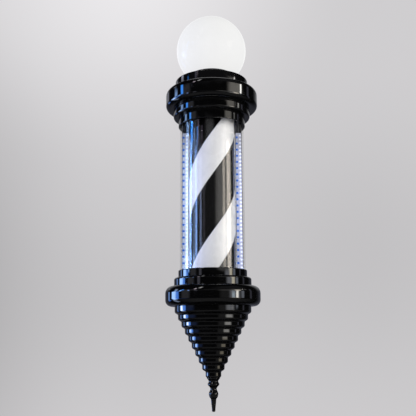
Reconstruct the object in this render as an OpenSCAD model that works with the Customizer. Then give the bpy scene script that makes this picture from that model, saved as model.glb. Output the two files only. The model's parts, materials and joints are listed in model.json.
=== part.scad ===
// Wall-mounted barber pole: a motor turns a striped drum inside a clear tube between two stepped
// caps. A stepped cone with a turned finial closes the bottom, and a lit globe stands on top.
// Heights are written from the lower cap's rim. The origin is on the wall, at the upper bracket.

/* [Caps] */
// Diameter of the ring that holds the clear tube
neck_d = 146.4; // [144:0.2:148]
// Diameters of the lower and the upper cap's middle ring
step_d = [164.4, 168.4]; // [160:0.2:170]
// Diameter of the rounded collar
collar_d = 202; // [200:0.5:208]
// Heights of the lower cap's neck, step and collar
lower_h = [15.8, 17.8, 42.2]; // [15:0.1:45]
// Heights of the upper cap's neck, step and collar
upper_h = [19, 19.6, 42.8]; // [15:0.1:45]
// Wall thickness of the moulded shells
wall = 3; // [2.5:0.25:3.5]
// Radii that round the lower collar, beside the step and at its far edge
lower_round = [15, 13]; // [8:0.5:16]
// Radii that round the upper collar, beside the step and at its far edge
upper_round = [10, 12]; // [8:0.5:16]
// Radius on the edge of the middle ring
step_round = 4.5; // [1:0.5:5]
// Radius on the edges of the neck ring and the cover
edge_round = 1.4; // [0.8:0.2:2]
// Diameter of the cover on the upper cap
cover_d = 159.8; // [156:0.2:162]
// Height of the cover on the upper cap
cover_h = 22.1; // [22:0.1:26]

/* [Tube and drum] */
// Outer diameter of the clear tube
tube_d = 140; // [139:0.25:141]
// Wall thickness of the clear tube
tube_wall = 3; // [2.5:0.25:3]
// Length of clear tube that shows between the two rims
tube_show = 317; // [300:1:420]
// Outer diameter of the turning drum
drum_d = 99; // [96:0.5:99.5]
// Wall thickness of the drum
drum_wall = 2.5; // [2:0.25:3]

/* [Stripes] */
// Number of stripes side by side round the drum
stripe_starts = 2; // [1:1:3]
// Height that a stripe climbs in one turn
stripe_lead = 431; // [300:1:600]
// Height of a stripe, measured up the drum
stripe_h = 93; // [40:1:110]
// Height of the first stripe's upper edge at the front
stripe_top = 293; // [200:1:310]
// Thickness of the stripe film
film_t = 0.3; // [0.2:0.05:0.4]

/* [Cone] */
// Diameter of the first cone ring
cone_d = 162; // [156:0.2:170]
// Number of rings down the cone
cone_rings = 10; // [6:1:10]
// Height of the first ring
first_ring_h = 15; // [12:0.1:18]
// Height of each ring after the first
ring_pitch = 14.7; // [12:0.1:18]
// Amount by which each ring's radius is less than the one above
ring_step = 7.2; // [6:0.1:7.3]

/* [Finial] */
// Depth below the cone and radius at each bead and waist of the turning
finial_keys = [[0, 12.6], [6, 9.8], [13, 12.2], [22.4, 6.6], [33, 10], [37, 9.2], [45, 5], [66.9, 3.2]];
// Radius that rounds the finial's tip
finial_tip = 2.2; // [1:0.1:3]

/* [Globe] */
// Outer diameter of the globe
globe_d = 155; // [150:1:160]
// Wall thickness of the globe
globe_wall = 2.5; // [2:0.25:3]
// Height of the globe's centre above the cover
globe_rise = 74.5; // [74:0.5:80]
// Diameter of the ring that holds the globe
fitter_d = 102; // [100:0.5:104]
// Height of the ring that holds the globe
fitter_h = 15.4; // [14:0.1:15.5]

/* [Light strips] */
// Distance of each light strip from the pole's axis
strip_x = 58.5; // [58:0.25:59]
// Width of the bar behind each light strip
post_w = 14; // [12:0.5:14]
// Distance from one lamp to the next
led_pitch = 8.33; // [6:0.01:17]
// Distance from one resistor to the next
resistor_pitch = 13.9; // [10:0.1:25]

/* [Wall mounting] */
// Distance from the pole's axis to the wall
wall_gap = 115; // [112:1:130]
// Width of each wall bracket
bracket_w = 120; // [110:1:130]
// Height of each wall bracket
bracket_h = 26; // [22:1:28]
// Distance between the two wall screws of a bracket
bolt_spacing = 92; // [84:1:94]
// Diameter of the holes for the wall screws
bolt_hole_d = 6.5; // [4:0.5:8]
// Radius of the hole through the cable gland
gland_bore_r = 4; // [2.5:0.25:4.5]

/* [Hidden] */
$fn = 96;

// Colours of the real pieces
gloss_black = "#101114";
opal = "#f4f4f2";
clear = [0.85, 0.9, 0.95, 0.25];
film_white = "#eef0f6";
steel = "#b4b8bc";
zinc = "#c9ccd0";
black_alu = "#1d1f23";
strip_white = "#e8f0ff";
lamp_white = "#ffffff";
resistor_blue = "#2b6fd6";
rubber_grey = "#2a2b2d";
nylon = "#e6e4dc";
brass = "#c9a24a";
wire_grey = "#4a4d52";

// Radii and small gaps
slip = 0.3;
neck_r = neck_d / 2;
collar_r = collar_d / 2;
cover_r = cover_d / 2;
tube_r = tube_d / 2;
tube_in_r = tube_r - tube_wall;
drum_r = drum_d / 2;
drum_in_r = drum_r - drum_wall;
opening_r = 67;
shoulder_in_r = tube_in_r - 0.4;
globe_r = globe_d / 2;
fitter_r = fitter_d / 2;

// Heights, all from the lower cap's rim
lower_z = [0, -lower_h[0], -lower_h[0] - lower_h[1], -lower_h[0] - lower_h[1] - lower_h[2]];
upper_z = [tube_show, tube_show + upper_h[0], tube_show + upper_h[0] + upper_h[1],
           tube_show + upper_h[0] + upper_h[1] + upper_h[2]];
cover_top = upper_z[3] + cover_h;
globe_z = cover_top + globe_rise;
cone_top = lower_z[3];
cone_line = cone_top + ring_pitch - first_ring_h;
cone_tip = cone_line - cone_rings * ring_pitch;

// The tube stands on a gasket in each cap, on a shoulder this far inside the rim
seat_depth = 14;
gasket_h = 1.5;
tube_bottom = -seat_depth + gasket_h;
tube_top = tube_show + seat_depth - gasket_h;

// Steel plates that carry the works, screwed to bosses under each cap's shoulder
plate_t = 2;
plate_r = 77;
boss_len = 12;
boss_r = 4.5;
boss_ring_r = 72;
boss_angles = [45, 135, 225, 315];
base_top = lower_z[1] - wall - boss_len;
top_under = upper_z[1] + wall + boss_len;

// Drum, hubs and shafts
drum_bottom = -12;
drum_top = upper_z[1] + 3;
hub_flange_t = 2;
hub_plug = 14;
hub_plug_r = drum_in_r - 0.1;
shaft_r = 3.5;
pin_r = 4;
run_fit = 0.05;
bush_r = 6;
bush_depth = 14;
bush_above = 3;
film_bottom = -4;
film_top = drum_top - 8;
film_step = 5;
film_in_r = drum_r / cos(film_step / 2) + 0.01;
film_out_r = film_in_r + film_t;

// Motor
motor_r = 25;
motor_h = 22;
motor_ear = 30;
motor_face = base_top - plate_t;
motor_plug_angle = 45;

// Light strips
post_t = 3;
post_foot = 15;
strip_w = 12;
strip_t = 1;
led_size = [3.5, 0.8, 2.8];
resistor_size = [2.2, 0.7, 3.4];
strip_bottom = -8;
strip_top = tube_show - 13;
led_dx = 3.6;
resistor_dx = -3.6;

// Screws: M3, M4 and M5 shank and head radii
m3 = [1.5, 2.8, 2];
m4 = [2, 3.6, 2.5];
m5 = [2.5, 4.6, 3.5];
hole_gap = 0.1;

// Wall brackets, one at the middle of each collar's height
bracket_t = 3;
pad_w = 50;
pad_depth = 11;
pad_y = collar_r + 1;
pad_screw_x = 14;
upper_mount_z = (upper_z[2] + upper_z[3]) / 2;
lower_mount_z = (lower_z[2] + lower_z[3]) / 2;

// Cable gland in the back of the cover
gland_z = upper_z[3] + cover_h / 2;
gland_seat_y = cover_r + 1;
gland_len = 28;
gland_boss_r = 11;
gland_boss_h = 8;
gland_thread_r = 6.5;
gland_dome = 9;
gland_hex = 6;
gland_out_y = gland_seat_y + gland_dome + gland_hex;

// Puts a piece drawn about the pole's axis into the frame of the upper wall mount
module on_pole() {
    translate([0, -wall_gap, -upper_mount_z]) children();
}

// Points of an arc in the plane of a profile
function arc(cx, cz, r, from, to, n = 8) =
    [for (i = [0:n]) let (a = from + (to - from) * i / n) [cx + r * cos(a), cz + r * sin(a)]];

// Closed outline from its right half, which has no point on the centre line
function both_sides(half) =
    concat(half, [for (i = [len(half) - 1:-1:0]) [-half[i][0], half[i][1]]]);

// Ring with an outer and an inner radius, standing on z
module ring(r_out, r_in, h, z = 0) {
    translate([0, 0, z]) difference() {
        cylinder(r = r_out, h = h);
        translate([0, 0, -1]) cylinder(r = r_in, h = h + 2);
    }
}

// Pan-head screw with its head's seat at z = 0 and its shank going down
module screw(size, len) {
    translate([0, 0, -len]) cylinder(r = size[0], h = len + 0.01, $fn = 32);
    intersection() {
        cylinder(r = size[1], h = size[2], $fn = 32);
        translate([0, 0, size[2] - size[1] * 1.6]) sphere(r = size[1] * 1.6, $fn = 48);
    }
}

// Hexagonal nut on a round hole
module nut(across, hole_r, h) {
    difference() {
        cylinder(r = across / sqrt(3), h = h, $fn = 6);
        translate([0, 0, -1]) cylinder(r = hole_r, h = h + 2, $fn = 32);
    }
}

// Half profile of a cap, rim at z = 0 and hanging down: neck, step and rounded collar outside,
// with the tube's seat, the shoulder and the hollow inside
function cap_profile(h, step_r, corner_r) =
    let (z1 = -h[0], z2 = z1 - h[1], z3 = z2 - h[2],
         near_r = corner_r[0], far_r = corner_r[1])
    concat(
        arc(neck_r - edge_round, -edge_round, edge_round, 90, 0, 5),
        [[neck_r, z1]],
        arc(step_r - step_round, z1 - step_round, step_round, 90, 0, 6),
        [[step_r, z2]],
        arc(collar_r - near_r, z2 - near_r, near_r, 90, 0, 10),
        arc(collar_r - far_r, z3 + far_r, far_r, 0, -90, 10),
        [[opening_r, z3], [opening_r, z3 + wall]],
        arc(collar_r - far_r, z3 + far_r, far_r - wall, -90, 0, 6),
        arc(collar_r - near_r, z2 - near_r, near_r - wall, 0, 90, 6),
        [[step_r - wall, z2 - wall], [step_r - wall, z1 - wall],
         [shoulder_in_r, z1 - wall], [shoulder_in_r, -seat_depth],
         [tube_r + slip, -seat_depth], [tube_r + slip, 0]]
    );

// A cap with its plate bosses and the flat pad that the wall bracket bolts to
module cap(h, step_r, corner_r) {
    z1 = -h[0];
    z3 = -h[0] - h[1] - h[2];
    pad_z = z3 + h[2] / 2;
    difference() {
        union() {
            rotate_extrude() polygon(cap_profile(h, step_r, corner_r));
            for (a = boss_angles) rotate(a) translate([boss_ring_r, 0, z1 - wall - boss_len])
                cylinder(r = boss_r, h = boss_len + 1, $fn = 32);
            translate([-pad_w / 2, pad_y - pad_depth, pad_z - bracket_h / 2])
                cube([pad_w, pad_depth, bracket_h]);
        }
        for (a = boss_angles) rotate(a) translate([boss_ring_r, 0, z1 - wall - boss_len - 1])
            cylinder(r = m4[0] + hole_gap / 2, h = boss_len, $fn = 32);
        for (x = [-pad_screw_x, pad_screw_x]) translate([x, pad_y + 1, pad_z])
            rotate([90, 0, 0]) cylinder(r = m5[0] + hole_gap, h = pad_depth + 2, $fn = 32);
    }
}

module lower_cap() on_pole() color(gloss_black) cap(lower_h, step_d[0] / 2, lower_round);

module upper_cap() on_pole() color(gloss_black) difference() {
    translate([0, 0, tube_show]) mirror([0, 0, 1]) cap(upper_h, step_d[1] / 2, upper_round);
    cover_screw_places() translate([0, 0, -wall - 1])
        cylinder(r = m4[0] + hole_gap, h = wall + 2, $fn = 32);
}

// Clear tube and the gaskets it stands between
module clear_tube() on_pole() color(clear)
    ring(tube_r, tube_in_r, tube_top - tube_bottom, tube_bottom);

module gasket(z) on_pole() color(rubber_grey) ring(tube_r, shoulder_in_r + 0.2, gasket_h, z);
module lower_gasket() gasket(-seat_depth);
module upper_gasket() gasket(tube_top);

// Cover on the upper cap, with a spigot in the cap's opening and a boss for the gland
cover_angles = [30, 150, 270];
cover_boss_r = 4;
cover_screw_len = 12;
spigot_len = 6;
module cover_screw_places() {
    for (a = cover_angles) rotate(a) translate([boss_ring_r + 0.5, 0, upper_z[3]]) children();
}

module top_cover() on_pole() color(gloss_black) difference() {
    union() {
        translate([0, 0, upper_z[3]]) rotate_extrude() polygon(concat(
            [[opening_r - slip, -spigot_len], [opening_r - slip, 0], [cover_r, 0]],
            arc(cover_r - edge_round, cover_h - edge_round, edge_round, 0, 90, 5),
            [[0, cover_h], [0, cover_h - wall], [cover_r - wall, cover_h - wall],
             [cover_r - wall, wall], [spigot_in_r, wall], [spigot_in_r, -spigot_len]]));
        cover_screw_places() cylinder(r = cover_boss_r, h = cover_h - wall / 2, $fn = 32);
        translate([0, gland_seat_y, gland_z]) rotate([90, 0, 0])
            cylinder(r = gland_boss_r, h = gland_boss_h);
    }
    cover_screw_places() translate([0, 0, -1])
        cylinder(r = m4[0] + hole_gap / 2, h = cover_screw_len + 1, $fn = 32);
    translate([0, gland_seat_y + 1, gland_z]) rotate([90, 0, 0])
        cylinder(r = gland_thread_r + hole_gap, h = gland_len);
    translate([0, 0, cover_top - wall - 1]) cylinder(r = nipple_r + hole_gap, h = wall + 2);
}

module cover_screws() on_pole() color(zinc) cover_screw_places()
    translate([0, 0, -wall]) mirror([0, 0, 1]) screw(m4, cover_screw_len);

// Cable gland: thread through the cover, hexagon, and domed clamping nut
module cable_gland() on_pole() color(rubber_grey)
    translate([0, gland_out_y, gland_z]) rotate([90, 0, 0]) difference() {
        union() {
            rotate_extrude() polygon(concat(
                [[0, 0]], arc(gland_thread_r, 2.5, 2.5, -90, 0, 5),
                [[gland_thread_r + 2.5, gland_dome], [gland_thread_r, gland_dome],
                 [gland_thread_r, gland_len], [0, gland_len]]));
            translate([0, 0, gland_dome]) cylinder(r = 10, h = gland_hex, $fn = 6);
        }
        translate([0, 0, -1]) cylinder(r = gland_bore_r, h = gland_len + 2);
    }

module gland_lock_nut() on_pole() color(rubber_grey)
    translate([0, gland_seat_y - gland_boss_h, gland_z]) rotate([90, 0, 0])
        nut(16, gland_thread_r + run_fit, 4);

// Globe: an opal ball blown with a lipped neck
neck_out_r = 45;
fitter_floor = 2;
neck_bottom = cover_top + fitter_floor + 1.5;
function globe_arc(r, edge_r, n) =
    let (low = asin(edge_r / r))
    [for (i = [0:n]) let (a = -90 + low + (180 - low) * i / n)
        [r * cos(a), globe_z + r * sin(a)]];
module globe() on_pole() color(opal) rotate_extrude() polygon(concat(
    [[neck_out_r + 1.5, neck_bottom], [neck_out_r + 1.5, neck_bottom + 2.5],
     [neck_out_r, neck_bottom + 3.5]],
    [for (p = globe_arc(globe_r, neck_out_r, 48)) [max(p[0], 0), p[1]]],
    [for (i = [0:48]) let (p = globe_arc(globe_r - globe_wall, neck_out_r - globe_wall, 48)[48 - i])
        [max(p[0], 0), p[1]]],
    [[neck_out_r - globe_wall, neck_bottom]]));

// Ring that holds the globe: a floor on the cover, a wall round the neck and a seat for the ball
set_screw_angles = [90, 210, 330];
set_screw_z = cover_top + 9;
fitter_in_r = fitter_r - 2.8;
module globe_fitter() on_pole() color(gloss_black) difference() {
    translate([0, 0, cover_top]) rotate_extrude() polygon([
        [0, 0], [fitter_r, 0], [fitter_r, fitter_h], [fitter_in_r, fitter_h - 2.1],
        [fitter_in_r, fitter_floor], [0, fitter_floor]]);
    for (a = set_screw_angles) rotate(a) translate([0, 0, set_screw_z]) rotate([0, 90, 0])
        cylinder(r = m4[0] + hole_gap / 2, h = fitter_r + 5, $fn = 32);
    translate([0, 0, cover_top - 1]) cylinder(r = nipple_r + hole_gap, h = fitter_floor + 2);
}

module globe_set_screws() on_pole() color(zinc)
    for (a = set_screw_angles) rotate(a) translate([neck_out_r + 0.2, 0, set_screw_z])
        rotate([0, 90, 0]) difference() {
            cylinder(r = m4[0], h = fitter_r - neck_out_r - 0.4, $fn = 32);
            translate([0, 0, fitter_r - neck_out_r - 2]) cylinder(r = 1.1, h = 3, $fn = 6);
        }

// Lamp: holder, threaded nipple and bulb
holder_r = 19;
holder_h = 44;
nipple_r = 5;
nipple_len = 22;
holder_z = cover_top + fitter_floor;
bulb_seat = holder_z + holder_h;
module lamp_holder() on_pole() color(nylon) translate([0, 0, holder_z]) difference() {
    rotate_extrude() polygon([
        [0, 0], [12, 0], [holder_r - 3, 6], [holder_r - 3, 14], [holder_r, 17],
        [holder_r, holder_h], [0, holder_h]]);
    translate([0, 0, holder_h - 27]) cylinder(r = 13.8, h = 28);
    translate([0, 0, -1]) cylinder(r = nipple_r + run_fit, h = 11);
}

module lamp_nipple() on_pole() color(brass)
    ring(nipple_r, nipple_r - 1.5, nipple_len, holder_z + 8 - nipple_len);

module nipple_nut() on_pole() color(brass)
    translate([0, 0, cover_top - wall - 4]) nut(14, nipple_r + run_fit, 4);

module lamp_bulb() on_pole() color(opal) translate([0, 0, bulb_seat - 25]) rotate_extrude()
    polygon(concat([[0, 0], [7, 0], [13, 4], [13, 26], [16, 32]],
        arc(0, 62, 30, -48, 90, 20)));

// Plate in the upper cap and what it carries
lead_hole_r = 4;
motor_lead_at = [55, 22];
module plate_screw_places() {
    for (a = boss_angles) rotate(a) translate([boss_ring_r, 0, 0]) children();
}

module plate(middle_r) {
    difference() {
        cylinder(r = plate_r, h = plate_t);
        translate([0, 0, -1]) cylinder(r = middle_r, h = plate_t + 2);
        plate_screw_places() translate([0, 0, -1])
            cylinder(r = m4[0] + hole_gap, h = plate_t + 2, $fn = 32);
        for (s = [-1, 1]) translate([s * strip_x, post_foot - 6, -1])
            cylinder(r = m3[0] + hole_gap / 2, h = plate_t + 2, $fn = 32);
        translate([motor_lead_at[0], motor_lead_at[1], -1])
            cylinder(r = lead_hole_r, h = plate_t + 2, $fn = 32);
    }
}

module top_plate() on_pole() color(steel) difference() {
    translate([0, 0, top_under]) plate(pin_r + hole_gap);
    for (s = [-1, 1]) translate([s * driver_hole_x, driver_y, top_under - 1])
        cylinder(r = m3[0] + hole_gap / 2, h = plate_t + 2, $fn = 32);
    for (s = [-1, 1]) translate([s * strip_lead_at[0], strip_lead_at[1], top_under - 1])
        cylinder(r = lead_hole_r, h = plate_t + 2, $fn = 32);
}

module plate_screws() on_pole() color(zinc) {
    plate_screw_places() translate([0, 0, base_top - plate_t]) mirror([0, 0, 1]) screw(m4, 9);
    plate_screw_places() translate([0, 0, top_under + plate_t]) screw(m4, 9);
}

// Power supply for the light strips
driver = [84, 34, 21];
driver_y = -26;
driver_hole_x = 47;
driver_z = top_under + plate_t;
module led_driver() on_pole() color(nylon) translate([0, driver_y, driver_z]) difference() {
    union() {
        translate([-driver[0] / 2, -driver[1] / 2, 0]) cube([driver[0], driver[1], driver[2] - 3]);
        translate([-driver[0] / 2 + 1.5, -driver[1] / 2 + 1.5, driver[2] - 3])
            cube([driver[0] - 3, driver[1] - 3, 3]);
        translate([-driver_hole_x - 5, -6, 0]) cube([2 * driver_hole_x + 10, 12, 3]);
    }
    for (s = [-1, 1]) translate([s * driver_hole_x, 0, -1])
        cylinder(r = m3[0] + hole_gap, h = 5, $fn = 32);
}

module driver_screws() on_pole() color(zinc)
    for (s = [-1, 1]) translate([s * driver_hole_x, driver_y, driver_z + 3]) screw(m3, 7);

// Terminal block: three ways, each with a wire hole and a screw well
way = 9;
block = [3 * way, 18, 15];
block_at = [0, 26];
module terminal_block() on_pole() color(nylon)
    translate([block_at[0] - block[0] / 2, block_at[1] - block[1] / 2, driver_z]) difference() {
        cube(block);
        for (i = [0:2]) translate([way * (i + 0.5), -1, 6]) rotate([-90, 0, 0])
            cylinder(r = 2.6, h = block[1] + 2, $fn = 32);
        for (i = [0:2], y = [4.5, 13.5]) translate([way * (i + 0.5), y, block[2] - 5])
            cylinder(r = 2.6, h = 6, $fn = 32);
    }

// Fixed pin that the drum's top end turns on
module pivot_pin() on_pole() color(steel) translate([0, 0, top_under]) {
    translate([0, 0, -24]) cylinder(r = pin_r, h = 34);
    translate([0, 0, -2]) cylinder(r = 8, h = 2);
}

module pin_nut() on_pole() color(zinc)
    translate([0, 0, top_under + plate_t]) nut(13, pin_r + run_fit, 6);

// Bars that tie the two plates together and carry the light strips
module post(side) {
    foot_z = [base_top, top_under - post_t];
    difference() {
        union() {
            translate([side * strip_x - post_w / 2, -post_t / 2, base_top])
                cube([post_w, post_t, top_under - base_top]);
            for (z = foot_z) translate([side * strip_x - post_w / 2, -post_t / 2, z])
                cube([post_w, post_foot + post_t / 2, post_t]);
        }
        for (z = foot_z) translate([side * strip_x, post_foot - 6, z - 1])
            cylinder(r = m3[0] + hole_gap, h = post_t + 2, $fn = 32);
    }
}
module led_post_left() on_pole() color(black_alu) post(-1);
module led_post_right() on_pole() color(black_alu) post(1);

module post_screws() on_pole() color(zinc)
    for (s = [-1, 1]) translate([s * strip_x, post_foot - 6, 0]) {
        translate([0, 0, base_top + post_t]) screw(m3, 8);
        translate([0, 0, top_under - post_t]) mirror([0, 0, 1]) screw(m3, 8);
    }

// Flexible strips on the front of the bars, with their lamps and resistors
module strip(side) {
    translate([side * strip_x - strip_w / 2, -post_t / 2 - strip_t, strip_bottom])
        cube([strip_w, strip_t, strip_top - strip_bottom]);
}
module led_strip_left() on_pole() color(strip_white) strip(-1);
module led_strip_right() on_pole() color(strip_white) strip(1);

module row_on_strips(dx, size, pitch) {
    count = floor((strip_top - strip_bottom - 8) / pitch);
    first = (strip_top + strip_bottom - count * pitch) / 2;
    for (s = [-1, 1], i = [0:count])
        translate([s * strip_x + dx - size[0] / 2, -post_t / 2 - strip_t - size[1],
                   first + i * pitch - size[2] / 2])
            cube(size);
}
module led_chips() on_pole() color(lamp_white) row_on_strips(led_dx, led_size, led_pitch);
module strip_resistors() on_pole() color(resistor_blue)
    row_on_strips(resistor_dx, resistor_size, resistor_pitch);

// Plate in the lower cap, the gear motor under it and the bridge that holds the cone's rod
bridge_x = 40;
bridge_drop = 28;
bridge_w = 20;
bridge_t = 2.5;
bridge_foot = 12;
module base_plate() on_pole() color(steel) difference() {
    translate([0, 0, base_top - plate_t]) plate(6.5);
    for (s = [-1, 1]) translate([0, s * motor_ear, base_top - plate_t - 1])
        cylinder(r = m4[0] + hole_gap, h = plate_t + 2, $fn = 32);
    for (s = [-1, 1]) translate([s * (bridge_x + bridge_foot / 2), 0, base_top - plate_t - 1])
        cylinder(r = m4[0] + hole_gap, h = plate_t + 2, $fn = 32);
}

module gear_motor() on_pole() color(zinc) translate([0, 0, motor_face]) difference() {
    union() {
        translate([0, 0, -motor_h]) cylinder(r = motor_r - 1, h = motor_h);
        translate([0, 0, -motor_h + 2]) cylinder(r = motor_r, h = motor_h - 6);
        translate([-6, -motor_ear - 5, -1.5]) cube([12, 2 * motor_ear + 10, 1.5]);
        cylinder(r = 6, h = plate_t + 1);
        rotate(motor_plug_angle) translate([motor_r - 3, -7, -motor_h + 4]) cube([8, 14, 9]);
    }
    translate([0, 0, -14]) cylinder(r = shaft_r + run_fit, h = 30);
    for (s = [-1, 1]) translate([0, s * motor_ear, -3])
        cylinder(r = m4[0] + hole_gap / 2, h = 5, $fn = 32);
}

module motor_screws() on_pole() color(zinc)
    for (s = [-1, 1]) translate([0, s * motor_ear, base_top]) screw(m4, 7);

module cone_bridge() on_pole() color(steel) translate([0, 0, motor_face]) difference() {
    rotate([90, 0, 0]) translate([0, 0, -bridge_w / 2]) linear_extrude(height = bridge_w)
        polygon(both_sides([
            [bridge_x, -bridge_drop], [bridge_x, -bridge_t],
            [bridge_x + bridge_foot, -bridge_t], [bridge_x + bridge_foot, 0],
            [bridge_x - bridge_t, 0], [bridge_x - bridge_t, -bridge_drop + bridge_t]]));
    for (s = [-1, 1]) translate([s * (bridge_x + bridge_foot / 2), 0, -bridge_t - 1])
        cylinder(r = m4[0] + hole_gap / 2, h = bridge_t + 2, $fn = 32);
    translate([0, 0, -bridge_drop - 1]) cylinder(r = rod_r + hole_gap, h = bridge_t + 2);
}

module bridge_screws() on_pole() color(zinc)
    for (s = [-1, 1]) translate([s * (bridge_x + bridge_foot / 2), 0, base_top]) screw(m4, 7);

// Threaded rod down the cone, which the finial screws onto to clamp the cone
rod_r = 3;
rod_top = motor_face - bridge_drop + bridge_t + 2.6;
rod_grip = 12;
module cone_rod() on_pole() color(zinc)
    translate([0, 0, cone_tip - rod_grip]) cylinder(r = rod_r, h = rod_top - cone_tip + rod_grip);

module rod_nuts() on_pole() color(zinc) {
    translate([0, 0, motor_face - bridge_drop + bridge_t]) nut(10, rod_r + run_fit, 2.5);
    translate([0, 0, motor_face - bridge_drop - 5]) nut(10, rod_r + run_fit, 5);
}

// Cone of stepped rings. Each ring swells to a straight band, then turns under to the next one.
// The swell's end and the turn's start are shares of the ring's height.
ring_swell = 0.2;
ring_band = 0.6;
ring_bulge = 0.7;
ring_turn = 4.8;
cone_floor = 4;
cone_in_r = cone_d / 2 - wall - 0.5;
spigot_in_r = opening_r - slip - wall;
function ring_profile(i) =
    let (r = cone_d / 2 - ring_step * i, z = i == 0 ? cone_top : cone_line - ring_pitch * i,
         h = i == 0 ? first_ring_h : ring_pitch)
    concat(
        [for (j = [0:3]) [r - ring_bulge * pow(1 - j / 3, 2), z - h * ring_swell * j / 3]],
        [for (a = [0:15:90]) [r - ring_turn * (1 - cos(a)),
                              z - h * (ring_band + (1 - ring_band) * sin(a))]]);
module cone_cover() on_pole() color(gloss_black) difference() {
    rotate_extrude() polygon(concat(
        [[opening_r - slip, cone_top + 5], [opening_r - slip, cone_top]],
        [for (i = [0:cone_rings - 1], p = ring_profile(i)) p],
        [[cone_d / 2 - ring_step * cone_rings + 1.5, cone_tip], [0, cone_tip],
         [0, cone_tip + cone_floor],
         [cone_in_r - ring_step * (cone_rings - cone_floor / ring_pitch), cone_tip + cone_floor],
         [spigot_in_r, cone_line - (cone_in_r - spigot_in_r) * ring_pitch / ring_step],
         [spigot_in_r, cone_top + 5]]));
    translate([0, 0, cone_tip - 1]) cylinder(r = rod_r + 0.3, h = cone_floor + 2);
}

// Finial turned in one piece: beads and waists eased into each other down to the stem
function eased(keys, n) =
    [for (i = [0:len(keys) - 2], j = [0:n - 1]) let (t = (1 - cos(180 * j / n)) / 2, d = j / n)
        [keys[i][1] + (keys[i + 1][1] - keys[i][1]) * t,
         -keys[i][0] - (keys[i + 1][0] - keys[i][0]) * d]];
finial_end = finial_keys[len(finial_keys) - 1];
module finial() on_pole() color(gloss_black) translate([0, 0, cone_tip]) difference() {
    rotate_extrude() polygon(concat(
        [[0, 0]], eased(finial_keys, 7),
        arc(finial_end[1] - finial_tip, -finial_end[0], finial_tip, 0, -90, 5),
        [[0, -finial_end[0] - finial_tip]]));
    translate([0, 0, -rod_grip - 0.5]) cylinder(r = rod_r + run_fit, h = rod_grip + 1.5);
}

// Wall brackets: a hat-shaped strap, its crown on the cap's pad and its ears on the wall
ear_from = 30;
crown_half = 24;
bracket_round = 5;
module bracket(z) on_pole() color(steel) translate([0, 0, z]) difference() {
    intersection() {
        translate([0, 0, -bracket_h / 2]) linear_extrude(height = bracket_h)
            polygon(both_sides([
                [crown_half, pad_y], [ear_from, wall_gap - bracket_t],
                [bracket_w / 2, wall_gap - bracket_t], [bracket_w / 2, wall_gap],
                [ear_from - 2, wall_gap], [crown_half - 2, pad_y + bracket_t]]));
        translate([0, wall_gap + 1, 0]) rotate([90, 0, 0]) linear_extrude(height = 30)
            rounded_plate(bracket_w, bracket_h, bracket_round);
    }
    for (s = [-1, 1]) translate([s * bolt_spacing / 2, wall_gap + 1, 0]) rotate([90, 0, 0])
        cylinder(r = bolt_hole_d / 2, h = bracket_t + 2);
    for (s = [-1, 1]) translate([s * pad_screw_x, wall_gap + 1, 0]) rotate([90, 0, 0])
        cylinder(r = m5[0] + hole_gap, h = 30, $fn = 32);
}

// Flat plate with rounded corners
module rounded_plate(w, h, r) {
    square([w, h - 2 * r], center = true);
    square([w - 2 * r, h], center = true);
    for (x = [-1, 1], y = [-1, 1]) translate([x * (w / 2 - r), y * (h / 2 - r)]) circle(r = r);
}
module upper_bracket() bracket(upper_mount_z);
module lower_bracket() bracket(lower_mount_z);

// Screws through each pad from inside the cap, and their nuts behind the bracket
module pad_places() {
    for (z = [lower_mount_z, upper_mount_z], x = [-pad_screw_x, pad_screw_x])
        translate([x, pad_y, z]) rotate([90, 0, 0]) children();
}
module bracket_screws() on_pole() color(zinc) pad_places()
    translate([0, 0, pad_depth]) screw(m5, pad_depth + bracket_t + 5);
module bracket_nuts() on_pole() color(zinc) pad_places()
    translate([0, 0, -bracket_t - 4]) nut(8, m5[0] + run_fit, 4);

// Insulated leads, swept along points chosen by hand, each bend rounded by more points
lead_r = 1.6;
function unit(v) = v / norm(v);
function bend(a, b, c, r, n = 4) =
    let (p = b + unit(a - b) * r, q = b + unit(c - b) * r)
    [for (i = [0:n]) let (t = i / n) p * pow(1 - t, 2) + b * 2 * t * (1 - t) + q * pow(t, 2)];
function route(pts, r) = concat([pts[0]],
    [for (i = [1:len(pts) - 2], p = bend(pts[i - 1], pts[i], pts[i + 1], r)) p],
    [pts[len(pts) - 1]]);
function along(p, i) = unit(p[min(i + 1, len(p) - 1)] - p[max(i - 1, 0)]);
function side_of(p, i) = i == 0
    ? let (d = along(p, 0)) unit(cross(d, abs(d[2]) < 0.9 ? [0, 0, 1] : [1, 0, 0]))
    : let (s = side_of(p, i - 1), d = along(p, i)) unit(s - d * (s * d));
module lead(pts, r, sides = 8) {
    n = len(pts);
    verts = [for (i = [0:n - 1]) let (s = side_of(pts, i), u = cross(along(pts, i), s))
        for (j = [0:sides - 1]) pts[i] + r * (s * cos(360 * j / sides) + u * sin(360 * j / sides))];
    walls = [for (i = [0:n - 2], j = [0:sides - 1]) let (k = (j + 1) % sides)
        for (f = [[i * sides + j, (i + 1) * sides + j, i * sides + k],
                  [i * sides + k, (i + 1) * sides + j, (i + 1) * sides + k]]) f];
    ends = [[for (j = [0:sides - 1]) j],
            [for (j = [sides - 1:-1:0]) (n - 1) * sides + j]];
    polyhedron(points = verts, faces = concat(walls, ends));
}

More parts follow.
